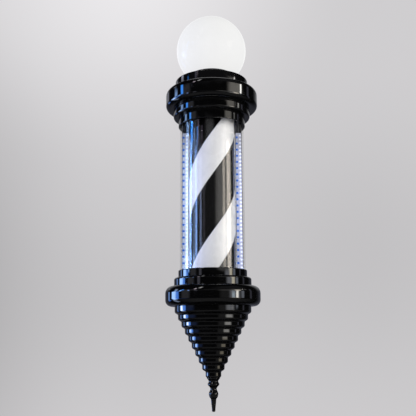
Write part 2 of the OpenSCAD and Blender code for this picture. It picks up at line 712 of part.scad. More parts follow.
way_z = driver_z + 6;
block_back = block_at[1] + block[1] / 2;
lamp_points = [[-way, block_back - 6, way_z], [-way, 50, way_z], [-way, 50, cover_top - 16],
               [0, 0, cover_top - 14], [0, 0, holder_z + 6]];
function plug_face(out) = let (r = motor_r + 5 + out)
    [r * cos(motor_plug_angle), r * sin(motor_plug_angle), motor_face - 13.5];
motor_points = [[way, block_back - 6, way_z], [way, 46, way_z], [40, 46, way_z],
                [motor_lead_at[0], motor_lead_at[1], way_z + 2],
                [motor_lead_at[0], motor_lead_at[1], base_top - 10],
                plug_face(14), plug_face(0.2)];
strip_lead_at = [58.5, -14];
module lamp_lead() on_pole() color(wire_grey) lead(route(lamp_points, 5), lead_r);
module motor_lead() on_pole() color(wire_grey) lead(route(motor_points, 6), lead_r);
module strip_leads() on_pole() color(wire_grey) for (s = [-1, 1]) lead(route([
    [s * driver[0] / 2, driver_y + 10, driver_z + 8], [s * 50, driver_y + 10, driver_z + 8],
    [s * strip_lead_at[0], strip_lead_at[1], driver_z + 8],
    [s * strip_lead_at[0], strip_lead_at[1], strip_top + 6],
    [s * strip_x, -post_t / 2 - 2.2, strip_top + 1]], 3), 1.2);

// Motor's output shaft, which turns with the drum
shaft_bottom = motor_face - 12;
shaft_top = drum_bottom + 6;
module motor_shaft() on_pole() color(steel) difference() {
    translate([0, 0, shaft_bottom]) cylinder(r = shaft_r, h = shaft_top - shaft_bottom);
    translate([shaft_r - 0.5, -5, drum_bottom - 14]) cube([3, 10, 30]);
}

// Hubs that plug the drum's ends: a cup with a flange, and a boss on six webs. The top hub's
// boss is closed below its bush, which keeps the grease in.
hub_web = 3;
hub_floor_t = 2;
hub_hole_z = 4;
hub_hole_angles = [30, 150, 270];
module hub(boss, bore, boss_low, boss_high, bore_high) {
    difference() {
        union() {
            rotate_extrude() polygon([
                [0, -hub_flange_t], [drum_r - 0.2, -hub_flange_t], [drum_r - 0.2, 0],
                [hub_plug_r, 0], [hub_plug_r, hub_plug], [hub_plug_r - hub_web, hub_plug],
                [hub_plug_r - hub_web, hub_floor_t], [0, hub_floor_t]]);
            translate([0, 0, boss_low]) cylinder(r = boss, h = boss_high - boss_low);
            for (a = [0:60:300]) rotate(a) translate([boss - 1, -hub_web / 2, 0])
                cube([hub_plug_r - boss - 1, hub_web, hub_plug - 4]);
        }
        translate([0, 0, boss_low - 1]) cylinder(r = bore, h = bore_high - boss_low + 1);
        for (a = hub_hole_angles) rotate(a) translate([0, 0, hub_hole_z]) rotate([0, 90, 0])
            translate([0, 0, hub_plug_r - 5]) cylinder(r = m3[0] + hole_gap / 2, h = 8, $fn = 32);
    }
}

grub_z = drum_bottom - 10;
module drive_hub() on_pole() color(nylon) difference() {
    translate([0, 0, drum_bottom]) hub(11, shaft_r + run_fit, -17, 6, 7);
    translate([0, 0, grub_z]) rotate([0, 90, 0])
        cylinder(r = m4[0] + hole_gap / 2, h = 15, $fn = 32);
}

module hub_grub_screw() on_pole() color(zinc) translate([shaft_r - 0.4, 0, grub_z])
    rotate([0, 90, 0]) cylinder(r = m4[0], h = 7.5, $fn = 32);

module top_hub() on_pole() color(nylon)
    translate([0, 0, drum_top]) mirror([0, 0, 1])
        hub(12, bush_r, -bush_above, bush_depth + 2.5, bush_depth);

module pivot_bush() on_pole() color(brass) translate([0, 0, drum_top - bush_depth])
    ring(bush_r - run_fit, pin_r + run_fit, bush_depth + bush_above);

// Drum with screw holes near its ends
drum_screw_z = [drum_bottom + hub_hole_z, drum_top - hub_hole_z];
module drum_screw_places() {
    for (z = drum_screw_z, a = hub_hole_angles) rotate(a)
        translate([drum_r, 0, z]) rotate([0, 90, 0]) children();
}
module drum_tube() on_pole() color(gloss_black) difference() {
    ring(drum_r, drum_in_r, drum_top - drum_bottom, drum_bottom);
    drum_screw_places() translate([0, 0, -6])
        cylinder(r = m3[0] + hole_gap, h = 8, $fn = 32);
}

module drum_screws() on_pole() color(zinc) drum_screw_places() {
    translate([0, 0, -5]) cylinder(r = m3[0], h = 5.2, $fn = 32);
    translate([0, 0, 0.2]) cylinder(r = 2.6, h = 0.8, $fn = 32);
}

// Stripe film: a helical band round the drum, cut off level at both ends
function stripe_edge(a, k) = stripe_top + stripe_lead * (a / 360 - k / stripe_starts);
function within_film(z) = min(max(z, film_bottom), film_top);
function stripe_ring(a, k) =
    let (high = within_film(stripe_edge(a, k)), low = within_film(stripe_edge(a, k) - stripe_h))
    [for (p = [[film_in_r, low], [film_out_r, low], [film_out_r, high], [film_in_r, high]])
        [p[0] * sin(a), -p[0] * cos(a), p[1]]];
module stripe(k) {
    sliver = 1;
    first = (film_bottom + sliver - stripe_edge(0, k)) * 360 / stripe_lead;
    last = (film_top - sliver - stripe_edge(0, k) + stripe_h) * 360 / stripe_lead;
    n = ceil((last - first) / film_step);
    verts = [for (i = [0:n], p = stripe_ring(first + (last - first) * i / n, k)) p];
    walls = [for (i = [0:n - 1], j = [0:3]) let (m = (j + 1) % 4)
        for (f = [[4 * i + j, 4 * i + m, 4 * i + 4 + j],
                  [4 * i + m, 4 * i + 4 + m, 4 * i + 4 + j]]) f];
    polyhedron(points = verts, faces = concat(walls, [[3, 2, 1, 0]],
        [[4 * n, 4 * n + 1, 4 * n + 2, 4 * n + 3]]));
}
module drum_stripes() on_pole() color(film_white)
    for (k = [0:stripe_starts - 1]) stripe(k);

globe();
globe_fitter();
globe_set_screws();
lamp_holder();
lamp_nipple();
nipple_nut();
lamp_bulb();
top_cover();
cover_screws();
cable_gland();
gland_lock_nut();
upper_cap();
upper_gasket();
top_plate();
led_driver();
driver_screws();
terminal_block();
pivot_pin();
pin_nut();
clear_tube();
led_post_left();
led_post_right();
led_strip_left();
led_strip_right();
led_chips();
strip_resistors();
post_screws();
plate_screws();
lower_gasket();
lower_cap();
base_plate();
gear_motor();
motor_screws();
cone_bridge();
bridge_screws();
cone_rod();
rod_nuts();
cone_cover();
finial();
upper_bracket();
lower_bracket();
bracket_screws();
bracket_nuts();
lamp_lead();
motor_lead();
strip_leads();
motor_shaft();
drive_hub();
hub_grub_screw();
drum_tube();
drum_stripes();
drum_screws();
top_hub();
pivot_bush();
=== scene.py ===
import json
import math

import bmesh
import bpy
from mathutils import Matrix, Vector


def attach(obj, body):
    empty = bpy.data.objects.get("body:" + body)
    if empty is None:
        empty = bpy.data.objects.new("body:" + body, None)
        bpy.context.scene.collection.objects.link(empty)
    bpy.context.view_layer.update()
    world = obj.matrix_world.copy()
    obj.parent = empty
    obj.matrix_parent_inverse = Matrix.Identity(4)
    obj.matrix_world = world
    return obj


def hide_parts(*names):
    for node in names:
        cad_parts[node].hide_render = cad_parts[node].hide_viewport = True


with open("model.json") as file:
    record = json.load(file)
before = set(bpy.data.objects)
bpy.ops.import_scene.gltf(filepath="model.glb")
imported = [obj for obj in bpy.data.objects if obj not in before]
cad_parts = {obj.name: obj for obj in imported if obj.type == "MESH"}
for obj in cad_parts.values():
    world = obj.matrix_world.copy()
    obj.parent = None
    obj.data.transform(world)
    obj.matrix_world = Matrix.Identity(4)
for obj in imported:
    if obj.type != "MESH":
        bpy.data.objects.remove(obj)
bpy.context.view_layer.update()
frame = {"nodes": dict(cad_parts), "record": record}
MM = 0.001

# The pole's axis and the lower cap's rim, in the row frame. Pieces are drawn from there, in mm
AXIS_Y = -115.0
RIM_Z = -377.0

# Sizes in millimetres. They repeat the part's source, but the cone's end and the finial are drawn
# a little fuller than their solids
NECK_R, COLLAR_R, COVER_R = 73.2, 100.95, 79.9
LOWER_CAP = {"heights": (15.8, 17.8, 42.2), "step_r": 82.2, "near_round": 15.0, "far_round": 13.0}
UPPER_CAP = {"heights": (19.0, 19.6, 42.8), "step_r": 84.2, "near_round": 10.0, "far_round": 12.0}
WALL, STEP_ROUND, EDGE_ROUND = 3.0, 4.5, 1.4
PAD_SIZE, PAD_SINK, PAD_ROUND = (50, 11, 26), 4.5, 0.8
BOSS_RING_R, BOSS_R, BOSS_H = 72.0, 4.5, 12.0
COVER_H, COVER_HOLE_R = 22.1, 6.0
COVER_BOSS_RING_R, COVER_BOSS_R, COVER_BOSS_H = 72.5, 4.0, 19.0
GLAND_BOSS_R, GLAND_BOSS_H = 11.0, 8.0
TUBE_R, TUBE_WALL, TUBE_SHOW = 70.0, 3.0, 317.0
TUBE_ENDS = (-12.5, 329.5)
SEAT, SEAT_PLAY, OPENING_R, SHOULDER_R = 14.0, 0.3, 67.0, 66.6
DRUM_R, DRUM_WALL, DRUM_ENDS = 49.5, 2.5, (-12.0, 339.0)
STRIPES, STRIPE_LEAD, STRIPE_H, STRIPE_TOP = 2, 431.0, 93.0, 293.0
FILM_T, FILM_GAP, FILM_ENDS = 0.3, 0.05, (-4.0, 331.0)
CONE_R, RINGS, FIRST_RING_H, RING_PITCH, RING_STEP = 81.0, 10, 15.0, 14.7, 7.2
CONE_END_R, CONE_WALL, CONE_FLOOR, ROD_HOLE_R = 14.0, 3.5, 4.0, 3.3
COVER_SPIGOT_H, CONE_SPIGOT_H, SPIGOT_PLAY = 6.0, 5.0, 0.3
FINIAL = ((0, 13.8), (7.6, 9.9), (13.2, 12.1), (22.4, 6.6), (33, 10), (37, 9.2), (45, 5.4),
          (66.9, 3.6))
FINIAL_TIP, FINIAL_HOLE_R, FINIAL_HOLE_H = 2.2, 3.05, 12.5
GLOBE_R, GLOBE_RISE, GLOBE_WALL, GLOBE_NECK = 77.5, 74.5, 2.5, 45.0
GLOBE_SEAT, GLOBE_LIP = 3.5, ((1.1, 0), (1.5, 0.4), (1.5, 2.2), (1.1, 2.8), (0, 3.5))
FITTER_R, FITTER_H, FITTER_WALL, FITTER_FLOOR, FITTER_BEVEL = 51.0, 15.4, 2.8, 2.0, 2.1
NIPPLE_HOLE_R = 5.1
STRIP_X, STRIP_FRONT = 58.5, 2.5
STRIP_ENDS = (-8.0, 304.0)
LED_SIZE, LED_PITCH, LED_DX = (3.5, 0.8, 2.8), 8.33, 3.6
RESISTOR_SIZE, RESISTOR_PITCH, RESISTOR_DX = (2.2, 0.7, 3.4), 13.9, -3.6
STRIP_MARGIN = 4.0
LOWER_TOP = -sum(LOWER_CAP["heights"])
UPPER_TOP = TUBE_SHOW + sum(UPPER_CAP["heights"])
COVER_TOP = UPPER_TOP + COVER_H
SPIGOT_R = OPENING_R - SPIGOT_PLAY
SPIGOT_IN_R = SPIGOT_R - WALL
CONE_LINE = LOWER_TOP + RING_PITCH - FIRST_RING_H
CONE_TIP = CONE_LINE - RINGS * RING_PITCH

# How many sides each turned piece is drawn with
CAP_SIDES, FITTER_SIDES, GLOBE_SIDES, TUBE_SIDES = 224, 192, 160, 256
DRUM_SIDES, CONE_SIDES, FINIAL_SIDES = 224, 208, 96

# How far down a ring its soft shoulder starts and, under it, the hollow into the next ring, as
# shares of the pitch. Then how round both are, in millimetres
SHOULDER, LAST_SHOULDER, HOLLOW = 0.88, 0.86, 0.18
SHOULDER_ROUND, HOLLOW_ROUND = 5.0, 3.0

# How far below a strip's top its lamps start to fade and stop fading, and how much is left
FADE_START, FADE_END, FADE_LEFT = 60.0, 12.0, 0.35

# The share of a chip's depth that is its block. The rest is its drawn-in front
CHIP_BLOCK = 0.65


def strip_row(pitch):
    """How many chips a strip holds at that pitch, and the height of the lowest one."""
    low, high = STRIP_ENDS
    gaps = (high - low - 2 * STRIP_MARGIN) // pitch
    return int(gaps) + 1, (low + high - gaps * pitch) / 2


# Nodes and colours

def linear(hex_colour):
    """A linear colour from an sRGB hex value."""
    parts = [int(hex_colour[i:i + 2], 16) / 255 for i in (1, 3, 5)]
    return [c / 12.92 if c <= 0.04045 else ((c + 0.055) / 1.055) ** 2.4 for c in parts] + [1.0]


def add(tree, kind, inputs=(), **settings):
    """Adds one node: its settings, then each input as a value, or as a link from a socket or from
    the first live output of a node."""
    node = tree.nodes.new(kind)
    for key, value in settings.items():
        setattr(node, key, value)
    for key, value in inputs.items() if isinstance(inputs, dict) else enumerate(inputs):
        if isinstance(value, bpy.types.Node):
            value = next(socket for socket in value.outputs if socket.enabled)
        if isinstance(value, bpy.types.NodeSocket):
            tree.links.new(value, node.inputs[key])
        else:
            node.inputs[key].default_value = value
    return node


def blank(name):
    """A material with an empty tree."""
    mat = bpy.data.materials.new(name)
    mat.use_nodes = True
    mat.node_tree.nodes.clear()
    return mat, mat.node_tree


def grain(tree, size_mm, stretch=(1, 1, 1), detail=2.0, rough=0.5, seed=0.0):
    """Noise whose lumps are size_mm across, drawn longer along an axis by a stretch over 1. Each
    seed shows another part of it."""
    placed = add(tree, "ShaderNodeMapping", {
        "Vector": add(tree, "ShaderNodeTexCoord").outputs["Object"],
        "Location": (seed, seed * 0.7, seed * 0.3),
        "Scale": [1 / (size_mm * MM * s) for s in stretch]})
    return add(tree, "ShaderNodeTexNoise", {
        "Vector": placed, "Scale": 1.0, "Detail": detail, "Roughness": rough})


def skin(tree, tone, gloss, bumps=(), more=None):
    """Ends a material with its surface. The tone and the gloss are each a value, a node, or a noise
    with the two ends that it runs between. Bumps are noises with their depths in mm, each on the
    one before it. The rest are more inputs by name."""
    if isinstance(tone, tuple):
        tone = add(tree, "ShaderNodeMix", {
            "Factor": tone[0], "A": linear(tone[1]), "B": linear(tone[2])}, data_type="RGBA")
    if isinstance(gloss, tuple):
        # Most of the noise lies between 0.3 and 0.7
        gloss = add(tree, "ShaderNodeMapRange", (gloss[0], 0.3, 0.7, *gloss[1:]))
    relief = {}
    for height, depth in bumps:
        relief = {"Normal": add(tree, "ShaderNodeBump", {
            "Height": height, "Strength": 1.0, "Distance": depth * MM, **relief})}
    shader = add(tree, "ShaderNodeBsdfPrincipled", {
        "Base Color": tone, "Roughness": gloss, **relief, **(more or {})})
    add(tree, "ShaderNodeOutputMaterial", {"Surface": shader})


def point_on(tree):
    """A point's X, Y and Z on its piece."""
    at = add(tree, "ShaderNodeTexCoord").outputs["Object"]
    return add(tree, "ShaderNodeSeparateXYZ", (at,)).outputs


# Finishes

def polished_black_abs():
    """Injection-moulded ABS, buffed to a deep gloss. Black with crisp mirror streaks, which waver
    because the moulding is a little uneven over some 26 mm. Wiping left faint marks 7 mm long, and
    a haze comes and goes over 34 mm."""
    mat, tree = blank("polished_black_abs")
    wave = grain(tree, 26, detail=1.0)
    marks = grain(tree, 0.8, stretch=(1, 1, 9), detail=3.0, seed=4.0)
    haze = grain(tree, 34, detail=3.0, rough=0.6, seed=9.0)
    skin(tree, (haze, "#030303", "#070707"), (haze, 0.02, 0.05), ((wave, 0.12), (marks, 0.0012)),
         {"Specular IOR Level": 0.55, "IOR": 1.53})
    return mat


def opal_globe():
    """Blown opal acrylic, lit from inside by the bulb. Milky white, with the bulb's light through
    it painted on as a glow that is a little uneven over 48 mm, under a clear gloss skin that
    blowing left uneven over 22 mm."""
    mat, tree = blank("opal_acrylic")
    cloud = grain(tree, 48, detail=2.0)
    ripple = grain(tree, 22, detail=1.0, seed=3.0)
    # Painted glow: the ball shines on its own, in place of the bulb's light passing through it
    painted_glow = add(tree, "ShaderNodeMix", {
        "Factor": cloud, "A": linear("#f6f6f6"), "B": linear("#fcfcfb")}, data_type="RGBA")
    skin(tree, (cloud, "#5f5f5f", "#666666"), (cloud, 0.12, 0.2), ((ripple, 0.08),), {
        "IOR": 1.49, "Specular IOR Level": 0.05, "Emission Color": painted_glow,
        "Emission Strength": 0.79})
    return mat


def clear_acrylic():
    """Extruded clear acrylic tube. Nearly invisible: a thin grey line at each edge and faint long
    reflections, wavering a little with the draw lines, which are 5 mm wide and run its length."""
    mat, tree = blank("clear_acrylic")
    bump = add(tree, "ShaderNodeBump", {
        "Height": grain(tree, 5, stretch=(1, 1, 60), detail=1.0), "Strength": 1.0,
        "Distance": 0.004 * MM})
    glass = add(tree, "ShaderNodeBsdfPrincipled", {
        "Base Color": linear("#fcfcfd"), "Roughness": 0.015, "IOR": 1.49,
        "Transmission Weight": 1.0, "Normal": bump})
    through = add(tree, "ShaderNodeBsdfTransparent", {"Color": linear("#fafafa")})
    mirror = add(tree, "ShaderNodeBsdfGlossy", {
        "Color": linear("#f6f6f6"), "Roughness": 0.02, "Normal": bump})
    # It mirrors more at a glancing angle, and lets the lamps' light straight through
    head_on, glancing, seen_through = 0.035, 0.12, 0.97
    facing = add(tree, "ShaderNodeLayerWeight", {"Blend": 0.5}).outputs["Facing"]
    glance = add(tree, "ShaderNodeMath", (facing, 5.0), operation="POWER")
    share = add(tree, "ShaderNodeMath", (glance, glancing, head_on), operation="MULTIPLY_ADD")
    lamp_ray = add(tree, "ShaderNodeLightPath").outputs["Is Shadow Ray"]
    other_ray = add(tree, "ShaderNodeMath", (1.0, lamp_ray), operation="SUBTRACT")
    share = add(tree, "ShaderNodeMath", (share, other_ray), operation="MULTIPLY")
    clear = add(tree, "ShaderNodeMixShader", (seen_through, glass, through))
    tube = add(tree, "ShaderNodeMixShader", (share, clear, mirror))
    add(tree, "ShaderNodeOutputMaterial", {"Surface": tube})
    return mat


def drum_film():
    """Gloss black vinyl stuck round the drum. A black mirror whose reflections run in long wavy
    streaks, because the film lies in faint upright ripples, 9 mm wide, over broader swells."""
    mat, tree = blank("gloss_black_vinyl")
    ripple = grain(tree, 9, stretch=(1, 1, 11), detail=2.0)
    swell = grain(tree, 30, stretch=(1, 1, 4), detail=1.0, seed=6.0)
    haze = grain(tree, 16, stretch=(1, 1, 6), detail=3.0, seed=2.0)
    skin(tree, (haze, "#040404", "#090909"), (haze, 0.02, 0.06), ((swell, 0.34), (ripple, 0.03)),
         {"IOR": 1.5, "Specular IOR Level": 0.6})
    return mat


def stripe_vinyl():
    """White vinyl stripe over the black. Clean white with a soft sheen that shows the same upright
    9 mm ripples."""
    mat, tree = blank("white_vinyl")
    ripple = grain(tree, 9, stretch=(1, 1, 11), detail=2.0)
    cloud = grain(tree, 30, detail=3.0, seed=5.0)
    skin(tree, (cloud, "#e9e9ea", "#f2f2f2"), (cloud, 0.22, 0.32), ((ripple, 0.06),), {
        "IOR": 1.5, "Coat Weight": 0.35, "Coat Roughness": 0.08})
    return mat


def plain_metal(name, dark, light, low, high, size, stretch=(1, 1, 1)):
    """A bare metal. Its roughness runs from low to high over grains of that size in mm, and its
    tone from dark to light over 14 mm."""
    mat, tree = blank(name)
    fine = grain(tree, size, stretch=stretch, detail=3.0)
    broad = grain(tree, 14, detail=2.0, seed=7.0)
    skin(tree, (broad, dark, light), (fine, low, high), ((fine, 0.004),), {"Metallic": 1.0})
    return mat


def plain_polymer(name, dark, light, low, high, size, depth):
    """A moulded polymer with a fine even texture of that size and depth in mm. Its tone runs from
    dark to light and its roughness from low to high over 18 mm."""
    mat, tree = blank(name)
    fine = grain(tree, size, detail=2.0)
    broad = grain(tree, 18, detail=2.0, seed=8.0)
    skin(tree, (broad, dark, light), (broad, low, high), ((fine, depth),), {"IOR": 1.5})
    return mat


def gap_to_chips(tree, pitch, aside):
    """How far a point on the strips' faces is from the nearest chip of that pitch, whose rows stand
    aside of the strips' middles."""
    at = point_on(tree)
    first = strip_row(pitch)[1]
    climb = add(tree, "ShaderNodeMath", (at["Z"], (first + RIM_Z) * MM), operation="SUBTRACT")
    up = add(tree, "ShaderNodeMath", (climb, pitch / 2 * MM), operation="PINGPONG")
    offs = []
    for side in (1, -1):
        off = add(tree, "ShaderNodeMath", (at["X"], (side * STRIP_X + aside) * MM),
                  operation="SUBTRACT")
        offs.append(add(tree, "ShaderNodeMath", (off,), operation="ABSOLUTE"))
    across = add(tree, "ShaderNodeMath", offs, operation="MINIMUM")
    squares = [add(tree, "ShaderNodeMath", (leg, 2.0), operation="POWER") for leg in (up, across)]
    total = add(tree, "ShaderNodeMath", squares, operation="ADD")
    return add(tree, "ShaderNodeMath", (total,), operation="SQRT")


def top_fade(tree):
    """The strips' lamps, and the glow painted on their faces, grow weaker towards their top ends.
    """
    top = STRIP_ENDS[1] + RIM_Z
    return add(tree, "ShaderNodeMapRange", (
        point_on(tree)["Z"], (top - FADE_START) * MM, (top - FADE_END) * MM, 1.0, FADE_LEFT),
        interpolation_type="SMOOTHSTEP")


def led_tape():
    """White solder mask on a flexible lamp strip, with a blue pad under each resistor. It looks
    lilac grey on the right, and a blue-white glow is painted over its face, stronger on the left,
    with a painted pool of light round each lamp. The painted glow dims at its top end. Its weave
    is drawn 0.5 mm wide, coarser than the real one, to show."""
    mat, tree = blank("white_solder_mask")
    cloud = grain(tree, 6, detail=2.0)
    weave = grain(tree, 0.5, seed=2.0)
    # Painted glow over the strips' faces, which are no lamps: a little stronger on the left side
    left = add(tree, "ShaderNodeMath", (point_on(tree)["X"], 0.0), operation="LESS_THAN")
    even = add(tree, "ShaderNodeMath", (left, 0.12, 0.46), operation="MULTIPLY_ADD")
    # The painted pool of light fades out 5 mm from a lamp
    pool = add(tree, "ShaderNodeMapRange", (
        gap_to_chips(tree, LED_PITCH, LED_DX), 0.8 * MM, 5.0 * MM, 0.5, 0.0),
        interpolation_type="SMOOTHSTEP")
    lit = add(tree, "ShaderNodeMath", (even, pool), operation="ADD")
    power = add(tree, "ShaderNodeMath", (lit, top_fade(tree)), operation="MULTIPLY")
    # A pad reaches about 2.2 mm from its resistor's middle, and the cloud frays its edge
    edge = add(tree, "ShaderNodeMath", (cloud, 0.6 * MM, 1.9 * MM), operation="MULTIPLY_ADD")
    beyond = add(tree, "ShaderNodeMath", (
        gap_to_chips(tree, RESISTOR_PITCH, RESISTOR_DX), edge), operation="SUBTRACT")
    pad = add(tree, "ShaderNodeMapRange", (beyond, 0.0, 0.7 * MM, 1.0, 0.0),
              interpolation_type="SMOOTHSTEP")
    # The first tone is the mask's own colour, the second the colour of its painted glow
    tones = []
    for noise, first, second, blue in ((cloud, "#a4a5b3", "#b2b3c0", "#2f74d8"),
                                       (left, "#c6d2ff", "#c6dcff", "#2f7cf0")):
        plain = add(tree, "ShaderNodeMix", {
            "Factor": noise, "A": linear(first), "B": linear(second)}, data_type="RGBA")
        tones.append(add(tree, "ShaderNodeMix", {
            "Factor": pad, "A": plain, "B": linear(blue)}, data_type="RGBA"))
    skin(tree, tones[0], (cloud, 0.3, 0.45), ((weave, 0.01),), {
        "Emission Color": tones[1], "Emission Strength": power})
    return mat


def lamp_lens():
    """The phosphor window of a lamp: cool white, under a slightly rough clear skin with a 1 mm
    texture."""
    mat, tree = blank("phosphor_lens")
    fine = grain(tree, 1.0, detail=1.0)
    power = add(tree, "ShaderNodeMath", (top_fade(tree), 0.95), operation="MULTIPLY")
    skin(tree, (fine, "#f0f2f6", "#fdfdff"), 0.35, ((fine, 0.02),), {
        "Emission Color": linear("#dfeaff"), "Emission Strength": power})
    return mat


def lit_bulb():
    """Frosted glass, lit warm and even from inside, with a 3 mm unevenness in the frost."""
    mat, tree = blank("frosted_bulb_glass")
    fine = grain(tree, 3.0, detail=1.0)
    skin(tree, (fine, "#f0f2f6", "#fdfdff"), 0.35, ((fine, 0.02),), {
        "Emission Color": linear("#fff1dc"), "Emission Strength": 1.2})
    return mat


# Textures that are too fine to show on the real pieces are drawn 0.3 to 0.6 mm wide
FINISHES = {
    "black_gloss": polished_black_abs(),
    "opal_globe": opal_globe(),
    "clear_acrylic": clear_acrylic(),
    "drum_black": drum_film(),
    "stripe_white": stripe_vinyl(),
    "strip_white": led_tape(),
    "led_light": lamp_lens(),
    "lamp_glass": lit_bulb(),
    # Blue ceramic chip: a small glossy body with end caps too small to show
    "resistor_blue": plain_polymer("glazed_chip", "#2263c8", "#2f78e0", 0.12, 0.25, 0.3, 0.002),
    # Bright zinc plating: cool grey with a faint 1.5 mm spangle
    "zinc_steel": plain_metal("zinc_plated_steel", "#9fa4aa", "#c3c7cc", 0.25, 0.42, 1.5),
    # Cold-rolled sheet: rolling lines 7 mm long run one way and the sheen is soft
    "plate_steel": plain_metal("cold_rolled_steel", "#83878b", "#a3a6aa", 0.3, 0.5, 0.8,
                               (9, 1, 1)),
    # Powder coat: satin black with a 0.9 mm orange-peel skin
    "bracket_black": plain_polymer("black_powder_coat", "#141416", "#1d1d20", 0.32, 0.45, 0.9,
                                   0.03),
    # Moulded rubber: dull, dark and a little dusty
    "black_rubber": plain_polymer("moulded_rubber", "#17171a", "#222226", 0.65, 0.85, 0.4, 0.01),
    # Glass-filled nylon: near black and satin with a fine spark-eroded texture
    "black_nylon": plain_polymer("black_nylon", "#18181a", "#212124", 0.38, 0.5, 0.35, 0.012),
    # Natural nylon: milky ivory and waxy
    "white_nylon": plain_polymer("natural_nylon", "#d8d5c9", "#e5e2d8", 0.3, 0.42, 0.5, 0.008),
    # White housing plastic with a fine mould texture
    "white_housing": plain_polymer("white_abs", "#dcdcd8", "#e8e8e5", 0.35, 0.5, 0.45, 0.012),
    # Glazed porcelain: cream white, hard and wet looking, with 4 mm waves in the glaze
    "lamp_ceramic": plain_polymer("glazed_porcelain", "#e4e0d6", "#f0ede5", 0.06, 0.14, 4.0,
                                  0.02),
    # Turned brass: warm yellow with fine tool lines round it
    "brass": plain_metal("turned_brass", "#b5924a", "#d2ae62", 0.16, 0.3, 0.5, (1, 1, 0.3)),
    # Black anodised aluminium: extruded bar with fine lines 18 mm long
    "bar_aluminium": plain_metal("black_anodised_aluminium", "#1a1b1e", "#232428", 0.28, 0.42,
                                 0.6, (1, 1, 30)),
    # PVC sleeve: mid grey and smooth
    "lead_grey": plain_polymer("pvc_sleeve", "#3c3e42", "#4a4c51", 0.3, 0.45, 0.5, 0.004),
}


# Turned shapes

def rounded(corners, hold=0.18):
    """An outline in mm from corners (radius, height, rounding). Each corner becomes an arc with a
    point every 12 degrees, and a long side holds a point near each end so that it stays flat."""
    points = [Vector(c[:2]) for c in corners]
    count = len(points)
    halves, cuts = [], []
    for i, (_r, _z, ease) in enumerate(corners):
        half = (points[i - 1] - points[i]).angle(points[(i + 1) % count] - points[i]) / 2
        halves.append(half)
        cuts.append(ease / math.tan(half) if half < math.radians(89) else 0.0)
    # Two arcs on one side share its length
    share = [min(1.0, 0.96 * (points[i] - points[i - 1]).length / max(cuts[i] + cuts[i - 1], 1e-6))
             for i in range(count)]
    outline = []
    for i, here in enumerate(points):
        half, cut = halves[i], cuts[i] * min(share[i], share[(i + 1) % count])
        if cut <= 0:
            outline.append(here)
            continue
        back, on = points[i - 1] - here, points[(i + 1) % count] - here
        ease = cut * math.tan(half)
        middle = here + (back.normalized() + on.normalized()).normalized() * ease / math.sin(half)
        steps = max(3, math.ceil(math.degrees(math.pi - 2 * half) / 12))
        first, last = here + back.normalized() * cut, here + on.normalized() * cut
        a = first - middle
        turn = a.angle_signed(last - middle)
        if back.length > 2 * cut + 3 * hold:
            outline.append(first + back.normalized() * hold)
        for k in range(steps + 1):
            t = -turn * k / steps
            outline.append(middle + Vector((a.x * math.cos(t) - a.y * math.sin(t),
                                            a.x * math.sin(t) + a.y * math.cos(t))))
        if on.length > 2 * cut + 3 * hold:
            outline.append(last + on.normalized() * hold)
    return [(p.x, p.y) for p in outline]


def turn_outline(bm, outline, sides):
    """Spins an outline round the pole's axis into bm. Points on the axis become one vertex."""
    rings = []
    for r, z in outline:
        if r < 1e-6:
            rings.append([bm.verts.new((0, AXIS_Y * MM, (z + RIM_Z) * MM))])
            continue
        rings.append([bm.verts.new((
            r * math.sin(2 * math.pi * k / sides) * MM,
            (AXIS_Y - r * math.cos(2 * math.pi * k / sides)) * MM,
            (z + RIM_Z) * MM)) for k in range(sides)])
    for i, ring in enumerate(rings):
        following = rings[(i + 1) % len(rings)]
        if len(ring) == 1 and len(following) == 1:
            continue
        for k in range(sides):
            j = (k + 1) % sides
            corners = [ring[k % len(ring)], ring[j % len(ring)],
                       following[j % len(following)], following[k % len(following)]]
            kept = []
            for v in corners:
                if v not in kept:
                    kept.append(v)
            bm.faces.new(kept)


def add_block(bm, centre, size, ease):
    """A box with rounded edges, in mm from the pole's axis and the rim."""
    made = bmesh.ops.create_cube(bm, size=1.0, matrix=Matrix.Translation(
        Vector((centre[0], centre[1] + AXIS_Y, centre[2] + RIM_Z)) * MM)
        @ Matrix.Diagonal((size[0] * MM, size[1] * MM, size[2] * MM, 1)))
    edges = list({e for v in made["verts"] for e in v.link_edges})
    bmesh.ops.bevel(bm, geom=edges, offset=ease * MM, segments=3, profile=0.5, affect="EDGES")


def add_rod(bm, centre, radius, length, axis="Z", sides=48):
    """A plain rod, such as a screw boss, in mm from the pole's axis and the rim."""
    turn = {"Z": Matrix(), "Y": Matrix.Rotation(math.pi / 2, 4, "X")}[axis]
    bmesh.ops.create_cone(bm, cap_ends=True, segments=sides, radius1=radius * MM,
                          radius2=radius * MM, depth=length * MM,
                          matrix=Matrix.Translation(Vector((
                              centre[0], centre[1] + AXIS_Y, centre[2] + RIM_Z)) * MM) @ turn)


def finished(bm, node, slot, body="housing"):
    """Turns bm into the piece that stands for a node."""
    bmesh.ops.remove_doubles(bm, verts=bm.verts, dist=1e-7)
    bmesh.ops.recalc_face_normals(bm, faces=bm.faces)
    mesh = bpy.data.meshes.new(node)
    bm.to_mesh(mesh)
    bm.free()
    dressed(mesh, node, slot, body)


def dressed(mesh, node, slot, body="housing", smooth=True):
    """Gives a mesh its slot's finish and lets it ride on a body, in place of its node."""
    for face in mesh.polygons:
        face.use_smooth = smooth
    mesh.materials.clear()
    mesh.materials.append(FINISHES[slot])
    piece = bpy.data.objects.new(f"{node}_dressed", mesh)
    bpy.context.scene.collection.objects.link(piece)
    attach(piece, body)
    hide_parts(node)


# Caps, cover and fitter

